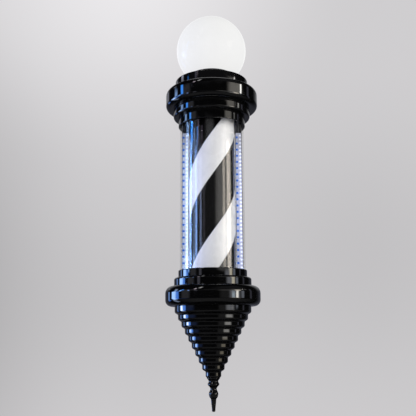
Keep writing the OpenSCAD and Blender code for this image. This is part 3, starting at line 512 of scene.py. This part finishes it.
def cap_corners(heights, step_r, near_round, far_round):
    """The corners of a cap from its rim at height 0 down, outside first and then inside."""
    z1 = -heights[0]
    z2 = z1 - heights[1]
    z3 = z2 - heights[2]
    return [
        (NECK_R, 0, EDGE_ROUND), (NECK_R, z1, 0.5), (step_r, z1, STEP_ROUND), (step_r, z2, 0.5),
        (COLLAR_R, z2, near_round), (COLLAR_R, z3, far_round), (OPENING_R, z3, 0.5),
        (OPENING_R, z3 + WALL, 0.4), (COLLAR_R - WALL, z3 + WALL, far_round - WALL),
        (COLLAR_R - WALL, z2 - WALL, near_round - WALL), (step_r - WALL, z2 - WALL, 0.5),
        (step_r - WALL, z1 - WALL, 0.5), (SHOULDER_R, z1 - WALL, 0.4), (SHOULDER_R, -SEAT, 0.4),
        (TUBE_R + SEAT_PLAY, -SEAT, 0.3), (TUBE_R + SEAT_PLAY, 0, 0.5)]


def make_cap(node, sizes, flip):
    """A cap with the four bosses for its plate and the flat pad for its bracket. The upper one is
    drawn upside down."""
    bm = bmesh.new()
    outline = rounded(cap_corners(**sizes))
    if flip:
        outline = [(r, TUBE_SHOW - z) for r, z in outline]
    turn_outline(bm, outline, CAP_SIDES)
    neck_h, step_h, collar_h = sizes["heights"]
    pad_z = -(neck_h + step_h + collar_h / 2)
    boss_z = -(neck_h + WALL + BOSS_H / 2)
    if flip:
        pad_z, boss_z = TUBE_SHOW - pad_z, TUBE_SHOW - boss_z
    add_block(bm, (0, COLLAR_R - PAD_SINK, pad_z), PAD_SIZE, PAD_ROUND)
    for k in range(4):
        a = math.radians(45 + 90 * k)
        add_rod(bm, (BOSS_RING_R * math.cos(a), BOSS_RING_R * math.sin(a), boss_z), BOSS_R, BOSS_H)
    finished(bm, node, "black_gloss")


def make_cover():
    """The drum-shaped cover on the upper cap, with the boss for the cable gland."""
    bm = bmesh.new()
    z0, z1 = UPPER_TOP, COVER_TOP
    low = z0 - COVER_SPIGOT_H
    turn_outline(bm, rounded([
        (SPIGOT_R, low, 0.4), (SPIGOT_R, z0, 0.3), (COVER_R, z0, 0.6),
        (COVER_R, z1, EDGE_ROUND), (COVER_HOLE_R, z1, 0.4), (COVER_HOLE_R, z1 - WALL, 0.4),
        (COVER_R - WALL, z1 - WALL, 1.0), (COVER_R - WALL, z0 + WALL, 0.6),
        (SPIGOT_IN_R, z0 + WALL, 0.4), (SPIGOT_IN_R, low, 0.4)]), CAP_SIDES)
    add_rod(bm, (0, COVER_R - WALL, z0 + COVER_H / 2), GLAND_BOSS_R, GLAND_BOSS_H, "Y", 64)
    for k in range(3):
        a = math.radians(30 + 120 * k)
        add_rod(bm, (COVER_BOSS_RING_R * math.cos(a), COVER_BOSS_RING_R * math.sin(a),
                     z0 + 1 + COVER_BOSS_H / 2), COVER_BOSS_R, COVER_BOSS_H)
    finished(bm, "top_cover", "black_gloss")


def make_fitter():
    """The ring that the globe sits in."""
    bm = bmesh.new()
    low, high, inner = COVER_TOP, COVER_TOP + FITTER_H, FITTER_R - FITTER_WALL
    turn_outline(bm, rounded([
        (NIPPLE_HOLE_R, low, 0.3), (FITTER_R, low, 0.4), (FITTER_R, high, 0.9),
        (inner, high - FITTER_BEVEL, 0.5), (inner, low + FITTER_FLOOR, 0.4),
        (NIPPLE_HOLE_R, low + FITTER_FLOOR, 0.3)]), FITTER_SIDES)
    finished(bm, "globe_fitter", "black_gloss")


def make_globe():
    """The opal ball, blown with a lipped neck that drops into the fitter."""
    centre = COVER_TOP + GLOBE_RISE
    low = COVER_TOP + GLOBE_SEAT
    inner, edge = GLOBE_NECK - GLOBE_WALL, 0.3

    def ball(radius, neck, steps):
        start = math.asin(neck / radius) - math.pi / 2
        return [(max(radius * math.cos(a), 0), centre + radius * math.sin(a)) for a in (
            start + (math.pi / 2 - start) * i / steps for i in range(steps + 1))]

    lip = [(GLOBE_NECK + out, low + up) for out, up in GLOBE_LIP]
    outline = lip[1:] + ball(GLOBE_R, GLOBE_NECK, 96) + ball(GLOBE_R - GLOBE_WALL, inner, 60)[::-1]
    outline += [(inner, low + edge), (inner + edge, low), lip[0]]
    bm = bmesh.new()
    turn_outline(bm, outline, GLOBE_SIDES)
    finished(bm, "globe", "opal_globe")


# Tube and drum

def make_tube():
    """The clear tube, whose ends stand in the caps."""
    bm = bmesh.new()
    turn_outline(bm, rounded([
        (TUBE_R, TUBE_ENDS[0], 0.3), (TUBE_R, TUBE_ENDS[1], 0.3),
        (TUBE_R - TUBE_WALL, TUBE_ENDS[1], 0.3), (TUBE_R - TUBE_WALL, TUBE_ENDS[0], 0.3)]),
        TUBE_SIDES)
    finished(bm, "clear_tube", "clear_acrylic")


def make_drum():
    """The black drum under its stripes."""
    bm = bmesh.new()
    turn_outline(bm, rounded([
        (DRUM_R, DRUM_ENDS[0], 0.4), (DRUM_R, DRUM_ENDS[1], 0.4),
        (DRUM_R - DRUM_WALL, DRUM_ENDS[1], 0.3), (DRUM_R - DRUM_WALL, DRUM_ENDS[0], 0.3)]),
        DRUM_SIDES)
    finished(bm, "drum_tube", "drum_black", "drum")


# Stripes, lamps and resistors, by Geometry Nodes

def group(name, sizes):
    """A geometry tree whose inputs are sizes by name, and its input sockets."""
    tree = bpy.data.node_groups.new(name, "GeometryNodeTree")
    tree.interface.new_socket("Geometry", in_out="INPUT", socket_type="NodeSocketGeometry")
    for key, value in sizes.items():
        kind = "NodeSocketInt" if isinstance(value, int) else "NodeSocketFloat"
        socket = tree.interface.new_socket(key, in_out="INPUT", socket_type=kind)
        socket.default_value = value
    tree.interface.new_socket("Geometry", in_out="OUTPUT", socket_type="NodeSocketGeometry")
    return tree, add(tree, "NodeGroupInput").outputs


def end_group(tree, geometry, slot):
    """Ends a tree with plain geometry in its finish."""
    real = add(tree, "GeometryNodeRealizeInstances", (geometry,))
    worn = add(tree, "GeometryNodeSetMaterial", {"Geometry": real, "Material": FINISHES[slot]})
    add(tree, "NodeGroupOutput", (worn,))


def grown(tree, sizes, name):
    """Runs a geometry tree with its sizes and returns what it makes as a plain mesh."""
    seed = bpy.data.objects.new(name, bpy.data.meshes.new(name))
    bpy.context.scene.collection.objects.link(seed)
    live = seed.modifiers.new("grow", "NODES")
    live.node_group = tree
    for item in tree.interface.items_tree:
        if item.item_type == "SOCKET" and item.in_out == "INPUT" and item.name in sizes:
            live[item.identifier] = sizes[item.name]
    graph = bpy.context.evaluated_depsgraph_get()
    mesh = bpy.data.meshes.new_from_object(seed.evaluated_get(graph))
    mesh.name = name
    bpy.data.objects.remove(seed)
    return mesh


def stripe_sizes(number):
    """Where a stripe runs. It starts and ends where the level cuts leave its band 1 mm high."""
    offset = number / STRIPES
    first = (FILM_ENDS[0] + 1 - STRIPE_TOP) / STRIPE_LEAD + offset
    last = (FILM_ENDS[1] - 1 - STRIPE_TOP + STRIPE_H) / STRIPE_LEAD + offset
    return {
        "Radius": (DRUM_R + FILM_GAP) * MM, "Lead": STRIPE_LEAD * MM, "Band": STRIPE_H * MM,
        "Top": (STRIPE_TOP - STRIPE_LEAD * offset) * MM, "Low": FILM_ENDS[0] * MM,
        "High": FILM_ENDS[1] * MM, "Centre Y": AXIS_Y * MM, "Rim Z": RIM_Z * MM,
        "Turns": last - first, "Start": first, "Across": 24, "Round": 420}


def stripe_tree():
    """A helical band: a grid whose X runs round the drum and whose Y runs up the band, wrapped on
    the drum and cut level at both ends."""
    tree, given = group("helical_stripe", stripe_sizes(0))
    grid = add(tree, "GeometryNodeMeshGrid", {
        "Size X": 1.0, "Size Y": 1.0, "Vertices X": given["Round"], "Vertices Y": given["Across"]})
    at = add(tree, "ShaderNodeSeparateXYZ", (add(tree, "GeometryNodeInputPosition"),)).outputs
    along = add(tree, "ShaderNodeMath", (at["X"], 0.5), operation="ADD")
    turns = add(tree, "ShaderNodeMath", (along, given["Turns"], given["Start"]),
                operation="MULTIPLY_ADD")
    upper = add(tree, "ShaderNodeMath", (turns, given["Lead"], given["Top"]),
                operation="MULTIPLY_ADD")
    lower = add(tree, "ShaderNodeMath", (upper, given["Band"]), operation="SUBTRACT")
    ends = []
    for edge in (upper, lower):
        raised = add(tree, "ShaderNodeMath", (edge, given["Low"]), operation="MAXIMUM")
        ends.append(add(tree, "ShaderNodeMath", (raised, given["High"]), operation="MINIMUM"))
    high, low = ends
    down = add(tree, "ShaderNodeMath", (0.5, at["Y"]), operation="SUBTRACT")
    reach = add(tree, "ShaderNodeMath", (low, high), operation="SUBTRACT")
    z = add(tree, "ShaderNodeMath", (reach, down, high), operation="MULTIPLY_ADD")
    angle = add(tree, "ShaderNodeMath", (turns, 2 * math.pi), operation="MULTIPLY")
    sides = []
    for kind in ("SINE", "COSINE"):
        share = add(tree, "ShaderNodeMath", (angle,), operation=kind)
        sides.append(add(tree, "ShaderNodeMath", (share, given["Radius"]), operation="MULTIPLY"))
    place = add(tree, "ShaderNodeCombineXYZ", (
        sides[0], add(tree, "ShaderNodeMath", (given["Centre Y"], sides[1]), operation="SUBTRACT"),
        add(tree, "ShaderNodeMath", (z, given["Rim Z"]), operation="ADD")))
    wrapped = add(tree, "GeometryNodeSetPosition", {"Geometry": grid, "Position": place})
    welded = add(tree, "GeometryNodeMergeByDistance", {"Geometry": wrapped, "Distance": 1e-6})
    end_group(tree, welded, "stripe_white")
    return tree


def make_stripes():
    """Both stripes in one mesh, each thickened outwards from the drum."""
    tree = stripe_tree()
    bm = bmesh.new()
    for k in range(STRIPES):
        bm.from_mesh(grown(tree, stripe_sizes(k), f"stripe_{k}"))
    bmesh.ops.dissolve_degenerate(bm, dist=1e-6, edges=bm.edges)
    bmesh.ops.recalc_face_normals(bm, faces=bm.faces)
    for face in bm.faces:
        middle = face.calc_center_median()
        if face.normal.dot(Vector((middle.x, middle.y - AXIS_Y * MM, 0))) < 0:
            face.normal_flip()
    made = bmesh.ops.extrude_face_region(bm, geom=bm.faces[:])
    for v in made["geom"]:
        if isinstance(v, bmesh.types.BMVert):
            # A little thinner than the film's solid, so that it stays inside it
            out = Vector((v.co.x, v.co.y - AXIS_Y * MM, 0)).normalized()
            v.co += out * FILM_T * 0.9 * MM
    finished(bm, "drum_stripes", "stripe_white", "drum")


def chip_tree(slot, sizes):
    """A row of small chips up each light strip. A chip is a block whose front is drawn in, so that
    its edges catch the light."""
    tree, given = group(f"chips_{slot}", sizes)
    body = add(tree, "ShaderNodeMath", (given["Depth"], CHIP_BLOCK), operation="MULTIPLY")
    rise = add(tree, "ShaderNodeMath", (given["Depth"], 1 - CHIP_BLOCK), operation="MULTIPLY")
    block = add(tree, "GeometryNodeMeshCube", {
        "Size": add(tree, "ShaderNodeCombineXYZ", (given["Width"], body, given["Height"]))})
    facing = add(tree, "ShaderNodeSeparateXYZ", (add(tree, "GeometryNodeInputNormal"),))
    front = add(tree, "ShaderNodeMath", (facing.outputs["Y"], -0.5), operation="LESS_THAN")
    raised = add(tree, "GeometryNodeExtrudeMesh", {
        "Mesh": block, "Selection": front, "Offset Scale": rise}, mode="FACES")
    chip = add(tree, "GeometryNodeScaleElements", {
        "Geometry": raised, "Selection": raised.outputs["Top"], "Scale": given["Draw In"]},
        domain="FACE")
    middle = add(tree, "ShaderNodeMath", (body, -0.5, given["Front Y"]), operation="MULTIPLY_ADD")
    climb = add(tree, "ShaderNodeCombineXYZ", {"Z": given["Pitch"]})
    rows = add(tree, "GeometryNodeJoinGeometry")
    for side in (-1, 1):
        across = add(tree, "ShaderNodeMath", (given["Strip X"], side, given["Aside"]),
                     operation="MULTIPLY_ADD")
        start = add(tree, "ShaderNodeCombineXYZ", (across, middle, given["First Z"]))
        line = add(tree, "GeometryNodeMeshLine", {
            "Count": given["Count"], "Start Location": start, "Offset": climb})
        tree.links.new(line.outputs["Mesh"], rows.inputs["Geometry"])
    placed = add(tree, "GeometryNodeInstanceOnPoints", {"Points": rows, "Instance": chip})
    end_group(tree, placed, slot)
    return tree


def make_chips(node, slot, size, aside, pitch):
    """The lamps or the resistors of both strips, as one mesh."""
    count, first = strip_row(pitch)
    sizes = {"Width": size[0] * MM, "Depth": size[1] * MM, "Height": size[2] * MM, "Draw In": 0.84,
             "Pitch": pitch * MM, "Aside": aside * MM, "Strip X": STRIP_X * MM,
             "Front Y": (AXIS_Y - STRIP_FRONT) * MM, "First Z": (first + RIM_Z) * MM,
             "Count": count}
    dressed(grown(chip_tree(slot, sizes), sizes, node), node, slot, smooth=False)


# Cone and finial

def cone_corners():
    """Ten rings from the lower cap down. Each is a straight band that turns in under a soft
    shoulder and runs through a hollow into the next one."""
    high, floor = LOWER_TOP + CONE_SPIGOT_H, CONE_TIP + CONE_FLOOR
    corners = [(SPIGOT_R, high, 0.4), (SPIGOT_R, LOWER_TOP, 0.3), (CONE_R, LOWER_TOP, 0.4)]
    for i in range(RINGS):
        r, z = CONE_R - RING_STEP * i, CONE_LINE - RING_PITCH * i
        if i > 0:
            corners.append((r + 0.1, z - RING_PITCH * HOLLOW, HOLLOW_ROUND))
        depth = SHOULDER if i < RINGS - 1 else LAST_SHOULDER
        corners.append((r, z - RING_PITCH * depth, SHOULDER_ROUND))
    # Inside, a straight cone stands clear of the rings, and a spigot enters the cap
    slope = RING_PITCH / RING_STEP
    inner = CONE_R - CONE_WALL
    return corners + [
        (CONE_END_R, CONE_TIP, 0.3), (ROD_HOLE_R, CONE_TIP, 0), (ROD_HOLE_R, floor, 0),
        (inner - (CONE_LINE - floor) / slope, floor, 0),
        (SPIGOT_IN_R, CONE_LINE - (inner - SPIGOT_IN_R) * slope, 0.5), (SPIGOT_IN_R, high, 0.4)]


def make_cone():
    """The ringed cone, with the spigot that enters the lower cap."""
    bm = bmesh.new()
    turn_outline(bm, rounded(cone_corners(), 0.12), CONE_SIDES)
    finished(bm, "cone_cover", "black_gloss")


def make_finial():
    """The turned finial: beads and waists eased into each other down to the stem's round tip."""
    ease_steps, tip_steps = 14, 12
    outline = [(FINIAL_HOLE_R, CONE_TIP - 1), (FINIAL_HOLE_R, CONE_TIP)]
    for (d0, r0), (d1, r1) in zip(FINIAL, FINIAL[1:]):
        for j in range(ease_steps):
            t = (1 - math.cos(math.pi * j / ease_steps)) / 2
            outline.append((r0 + (r1 - r0) * t, CONE_TIP - d0 - (d1 - d0) * j / ease_steps))
    depth, r = FINIAL[-1]
    for j in range(tip_steps + 1):
        a = math.pi / 2 * j / tip_steps
        outline.append((max(r - FINIAL_TIP * (1 - math.cos(a)), 0),
                        CONE_TIP - depth - FINIAL_TIP * math.sin(a)))
    outline += [(0, CONE_TIP - depth - FINIAL_TIP), (0, CONE_TIP - FINIAL_HOLE_H),
                (FINIAL_HOLE_R, CONE_TIP - FINIAL_HOLE_H)]
    bm = bmesh.new()
    turn_outline(bm, outline, FINIAL_SIDES)
    finished(bm, "finial", "black_gloss")


make_cap("lower_cap", LOWER_CAP, False)
make_cap("upper_cap", UPPER_CAP, True)
make_cover()
make_fitter()
make_globe()
make_tube()
make_drum()
make_stripes()
make_chips("led_chips", "led_light", LED_SIZE, LED_DX, LED_PITCH)
make_chips("strip_resistors", "resistor_blue", RESISTOR_SIZE, RESISTOR_DX, RESISTOR_PITCH)
make_cone()
make_finial()

# Finishes of the pieces that stay as they were built
for part in frame["record"]["subparts"]:
    piece = frame["nodes"][part["node"]]
    piece.data.materials.clear()
    piece.data.materials.append(FINISHES[part["material_slot"]])
    for face in piece.data.polygons:
        face.material_index = 0


# Floor, light and camera

def make_floor():
    """A pale floor far below the pole. The gloss pieces don't mirror it."""
    reach, height = 2.4, -1.45
    bm = bmesh.new()
    bmesh.ops.create_grid(bm, x_segments=2, y_segments=2, size=reach,
                          matrix=Matrix.Translation((0, 0, height)))
    mesh = bpy.data.meshes.new("floor")
    bm.to_mesh(mesh)
    bm.free()
    floor = bpy.data.objects.new("floor", mesh)
    mat, tree = blank("pale_floor")
    skin(tree, (grain(tree, 400), "#d3d2d4", "#d9d8da"), 0.7)
    mesh.materials.append(mat)
    bpy.context.scene.collection.objects.link(floor)
    floor.visible_glossy = False


def add_fill(name, azimuth, width, tone, brightness):
    """A flat lamp that only lights, and that no gloss piece shows. It faces the pole. The azimuth
    is 0 in front and grows to the right, and the brightness is what a mirror would show."""
    low, high, distance = -0.4, 1.4, 2.4
    lamp = bpy.data.lights.new(name, "AREA")
    lamp.shape = "RECTANGLE"
    lamp.size, lamp.size_y = width, high - low
    lamp.color = linear(tone)[:3]
    lamp.energy = brightness * math.pi * lamp.size * lamp.size_y
    a = math.radians(azimuth)
    place = Vector((distance * math.sin(a), AXIS_Y * MM - distance * math.cos(a),
                    (low + high) / 2 + RIM_Z * MM))
    aim = Vector((0, AXIS_Y * MM, place.z)) - place
    fill = bpy.data.objects.new(name, lamp)
    fill.location = place
    fill.rotation_euler = aim.to_track_quat("-Z", "Y").to_euler()
    fill.visible_camera = False
    fill.visible_glossy = False
    fill.visible_transmission = False
    bpy.context.scene.collection.objects.link(fill)


# What the gloss pieces mirror of the room: soft bands that may lean. Each has its lower height and
# the azimuth of its middle there, the same for its upper end, its half width in degrees, its colour
# and its brightness. Heights are sines. Azimuths are 0 in front and grow to the right.
ROOM = (
    (-0.60, -107, -0.13, -106, 8, "#c4d8ff", 3.0),
    (-0.13, -100, 0.045, -108, 10, "#a0c6ff", 14.0),
    (0.045, -108, 0.12, -107, 11, "#9cc4ff", 14.0),
    (0.12, -105, 0.36, -100, 7, "#9cc4ff", 6.0),
    (-0.10, -92, -0.03, -94, 6, "#4a85ff", 4.0),
    (-0.03, -94, 0.10, -95, 7, "#5a95ff", 9.0),
    (0.0, -104, 0.045, -108, 4.5, "#fff6f0", 10.0),
    (-0.19, -128, -0.13, -128, 9, "#5a90ff", 5.0),
    (0.10, -88, 0.29, -83, 5, "#81b3ff", 14.0),
    (0.29, -79, 0.374, -79, 5, "#4095ff", 13.0),
    (0.05, -69, 0.37, -66, 15, "#c8cad4", 0.55),
    (-0.13, -84, 0.05, -82, 30, "#7090e0", 0.6),
    (0.12, -60, 0.28, -62, 3.5, "#8cb4ff", 8.0),
    (0.075, -42, 0.28, -42, 6, "#e8e8ff", 0.8),
    (-0.10, -131, 0.12, -131, 6, "#90b8ff", 3.0),
    (0.30, -143, 0.374, -143, 8, "#e0e4ff", 1.0),
    (0.374, -106, 0.45, -106, 8, "#dfe6ff", 3.5),
    (0.374, -51, 0.392, -51, 4, "#e0e0ff", 0.9),
    (0.392, -46, 0.62, -46, 4, "#f6e6f4", 7.0),
    (0.62, -37, 0.85, -37, 5, "#ffffff", 6.0),
    (0.374, 10, 0.42, 10, 110, "#e8e8f0", 0.06),
    (0.42, 40, 0.90, 60, 60, "#e8e8f0", 0.1),
    (0.29, 58, 0.350, 59, 17, "#fffaf0", 1.6),
    (0.350, 61, 0.374, 61, 26, "#fffaf0", 2.1),
    (0.350, 77.5, 0.374, 77.5, 3.2, "#fffdf8", 16.0),
    (0.336, 87, 0.350, 87, 4, "#fffdf8", 4.0),
    (0.310, 83, 0.336, 84, 4, "#fffdf8", 1.3),
    (0.10, 0, 0.30, 0, 120, "#e8e8e8", 0.07),
    (0.285, -8, 0.322, -8, 20, "#d8d8dc", 0.5),
    (0.285, -52, 0.322, -50, 4, "#c8b8d8", 1.6),
    (0.10, 36, 0.29, 36, 30, "#f4f1ee", 0.8),
    (0.10, 62, 0.29, 61, 11, "#fff4e4", 7.5),
    (-0.10, 56, -0.015, 55, 17, "#efe4cc", 2.3),
    (-0.015, 55, 0.022, 54, 17, "#f4f2ee", 3.8),
    (0.022, 52, 0.052, 52, 18, "#f6f8ff", 1.8),
    (0.052, 54, 0.10, 54, 18, "#f2f6ff", 2.0),
    (-0.10, 33, 0.075, 30, 19, "#ffffff", 0.15),
    (-0.90, 5, -0.16, 5, 125, "#f4f4f6", 0.17),
    (0.052, 59.5, 0.072, 59.5, 4.4, "#fffbef", 12.0),
    (0.072, 62, 0.10, 62, 7, "#fff0c8", 5.0),
    (0.052, 49, 0.072, 49, 5, "#d8f0ff", 4.0),
    (0.045, 75, 0.10, 75, 6, "#e8f0ff", 1.9),
    (-0.05, 102, 0.37, 102, 5, "#d0d0e8", 0.45))

# The height over which a band's two ends fade, and the share of its half width that stays full
ROOM_SOFT, ROOM_CORE = 0.006, 0.4

# The studio wall's tint, and its brightness low and high up
WALL_TINT, WALL_TONES = (1.006, 0.988, 1.010), (0.602, 0.622)

# Soft pools on the studio wall: azimuth from its middle, height, reach and how much they add
WALL_POOLS = ((-7.5, 31.9, 0.334, 0.215), (-34.4, 3.6, 0.495, -0.386), (13.0, 7.0, 0.295, -0.067),
              (-4.9, 3.3, 0.230, -0.051))


def make_sky():
    """A pale studio wall with soft pools of light. On the camera's side the gloss pieces mirror a
    dim room with windows instead, and behind the wall's middle they mirror a darker wall."""
    world = bpy.data.worlds.new("studio")
    bpy.context.scene.world = world
    world.use_nodes = True
    # Each kind of ray finds its own sky, so none of it is sampled as a lamp
    world.cycles.sampling_method = "NONE"
    tree = world.node_tree
    tree.nodes.clear()
    way = add(tree, "ShaderNodeTexCoord").outputs["Generated"]
    along = add(tree, "ShaderNodeSeparateXYZ", (way,)).outputs

    shade = add(tree, "ShaderNodeMapRange", (along["Z"], 0.0, 0.45, *WALL_TONES),
                interpolation_type="SMOOTHSTEP")
    for azimuth, height, reach, share in WALL_POOLS:
        a, h = math.radians(azimuth), math.radians(height)
        centre = (math.sin(a) * math.cos(h), math.cos(a) * math.cos(h), math.sin(h))
        gap = add(tree, "ShaderNodeVectorMath", (way, centre), operation="DISTANCE")
        pool = add(tree, "ShaderNodeMapRange", (gap, 0.0, reach, share, 0.0),
                   interpolation_type="SMOOTHSTEP")
        shade = add(tree, "ShaderNodeMath", (shade, pool), operation="ADD")
    wall = add(tree, "ShaderNodeVectorMath", {0: WALL_TINT, "Scale": shade}, operation="SCALE")

    back = add(tree, "ShaderNodeMath", (along["Y"], -1.0), operation="MULTIPLY")
    turn = add(tree, "ShaderNodeMath", (along["X"], back), operation="ARCTAN2")
    room = linear("#0e0e10")[:3]
    for low, start, high, stop, reach, tone, power in ROOM:
        middle = add(tree, "ShaderNodeMapRange", (
            along["Z"], low, high, math.radians(start), math.radians(stop)))
        aside = add(tree, "ShaderNodeMath", (turn, middle), operation="SUBTRACT")
        off = add(tree, "ShaderNodeMath", (aside,), operation="ABSOLUTE")
        share = add(tree, "ShaderNodeMapRange", (
            off, math.radians(reach) * ROOM_CORE, math.radians(reach), power, 0.0),
            interpolation_type="SMOOTHSTEP")
        for edge, soft in ((low, ROOM_SOFT), (high, -ROOM_SOFT)):
            inside = add(tree, "ShaderNodeMapRange", (along["Z"], edge - soft, edge + soft, 0, 1),
                         interpolation_type="SMOOTHSTEP")
            share = add(tree, "ShaderNodeMath", (share, inside), operation="MULTIPLY")
        lit = add(tree, "ShaderNodeVectorMath", {0: linear(tone)[:3], "Scale": share},
                  operation="SCALE")
        room = add(tree, "ShaderNodeVectorMath", (room, lit), operation="ADD")

    # What glossy rays find, what lights the pieces, and where each turns from one to the other
    blends = {}
    for name, axis, start, stop in (("height", "Z", 0.08, 0.36), ("behind", "Y", 0.55, 0.95),
                                    ("lighting", "Y", 0.35, 0.65)):
        blends[name] = add(tree, "ShaderNodeMapRange", (along[axis], start, stop, 0, 1),
                           interpolation_type="SMOOTHSTEP")
    dark_wall = add(tree, "ShaderNodeMix", {
        "Factor": blends["height"], "A": linear("#595b66"), "B": linear("#b8b9bc")},
        data_type="RGBA")
    mirrored = add(tree, "ShaderNodeMix", {
        "Factor": blends["behind"], "A": room, "B": dark_wall}, data_type="RGBA")
    lighting = add(tree, "ShaderNodeMix", {
        "Factor": blends["lighting"], "A": linear("#101012"), "B": wall}, data_type="RGBA")
    path, seen = add(tree, "ShaderNodeLightPath").outputs, wall
    for ray, other in (("Is Glossy Ray", mirrored), ("Is Diffuse Ray", lighting)):
        seen = add(tree, "ShaderNodeMix", {"Factor": path[ray], "A": seen, "B": other},
                   data_type="RGBA")
    sky = add(tree, "ShaderNodeBackground", {"Color": seen})
    add(tree, "ShaderNodeOutputWorld", {"Surface": sky})


def make_camera():
    """The photograph's view: a long lens from below, pitched up a little."""
    # The picture's side, the focal length and the shift, all in the photograph's pixels
    side, focal, shift = 416, 658.174, 20.548
    data = bpy.data.cameras.new("camera")
    data.sensor_width = 36.0
    data.lens = focal / side * data.sensor_width
    data.shift_y = shift / side
    camera = bpy.data.objects.new("camera", data)
    place = (-0.009551, -1.516731, -0.515416)
    pitch, roll = math.radians(90 + 9.304), math.radians(-0.339)
    camera.matrix_world = (Matrix.Translation(place) @ Matrix.Rotation(pitch, 4, "X")
                           @ Matrix.Rotation(roll, 4, "Z"))
    bpy.context.scene.collection.objects.link(camera)
    bpy.context.scene.camera = camera


make_floor()
make_sky()
make_camera()
add_fill("key", 61, 1.8, "#fffefc", 6.3)
add_fill("fill", -82, 1.6, "#ced8ff", 7.9)
add_fill("front", -20, 1.8, "#ffffff", 2.6)

scene = bpy.context.scene
scene.view_settings.view_transform = "Standard"
scene.cycles.use_denoising = True
scene.cycles.max_bounces = 14
scene.cycles.transmission_bounces = 12
scene.cycles.transparent_max_bounces = 12
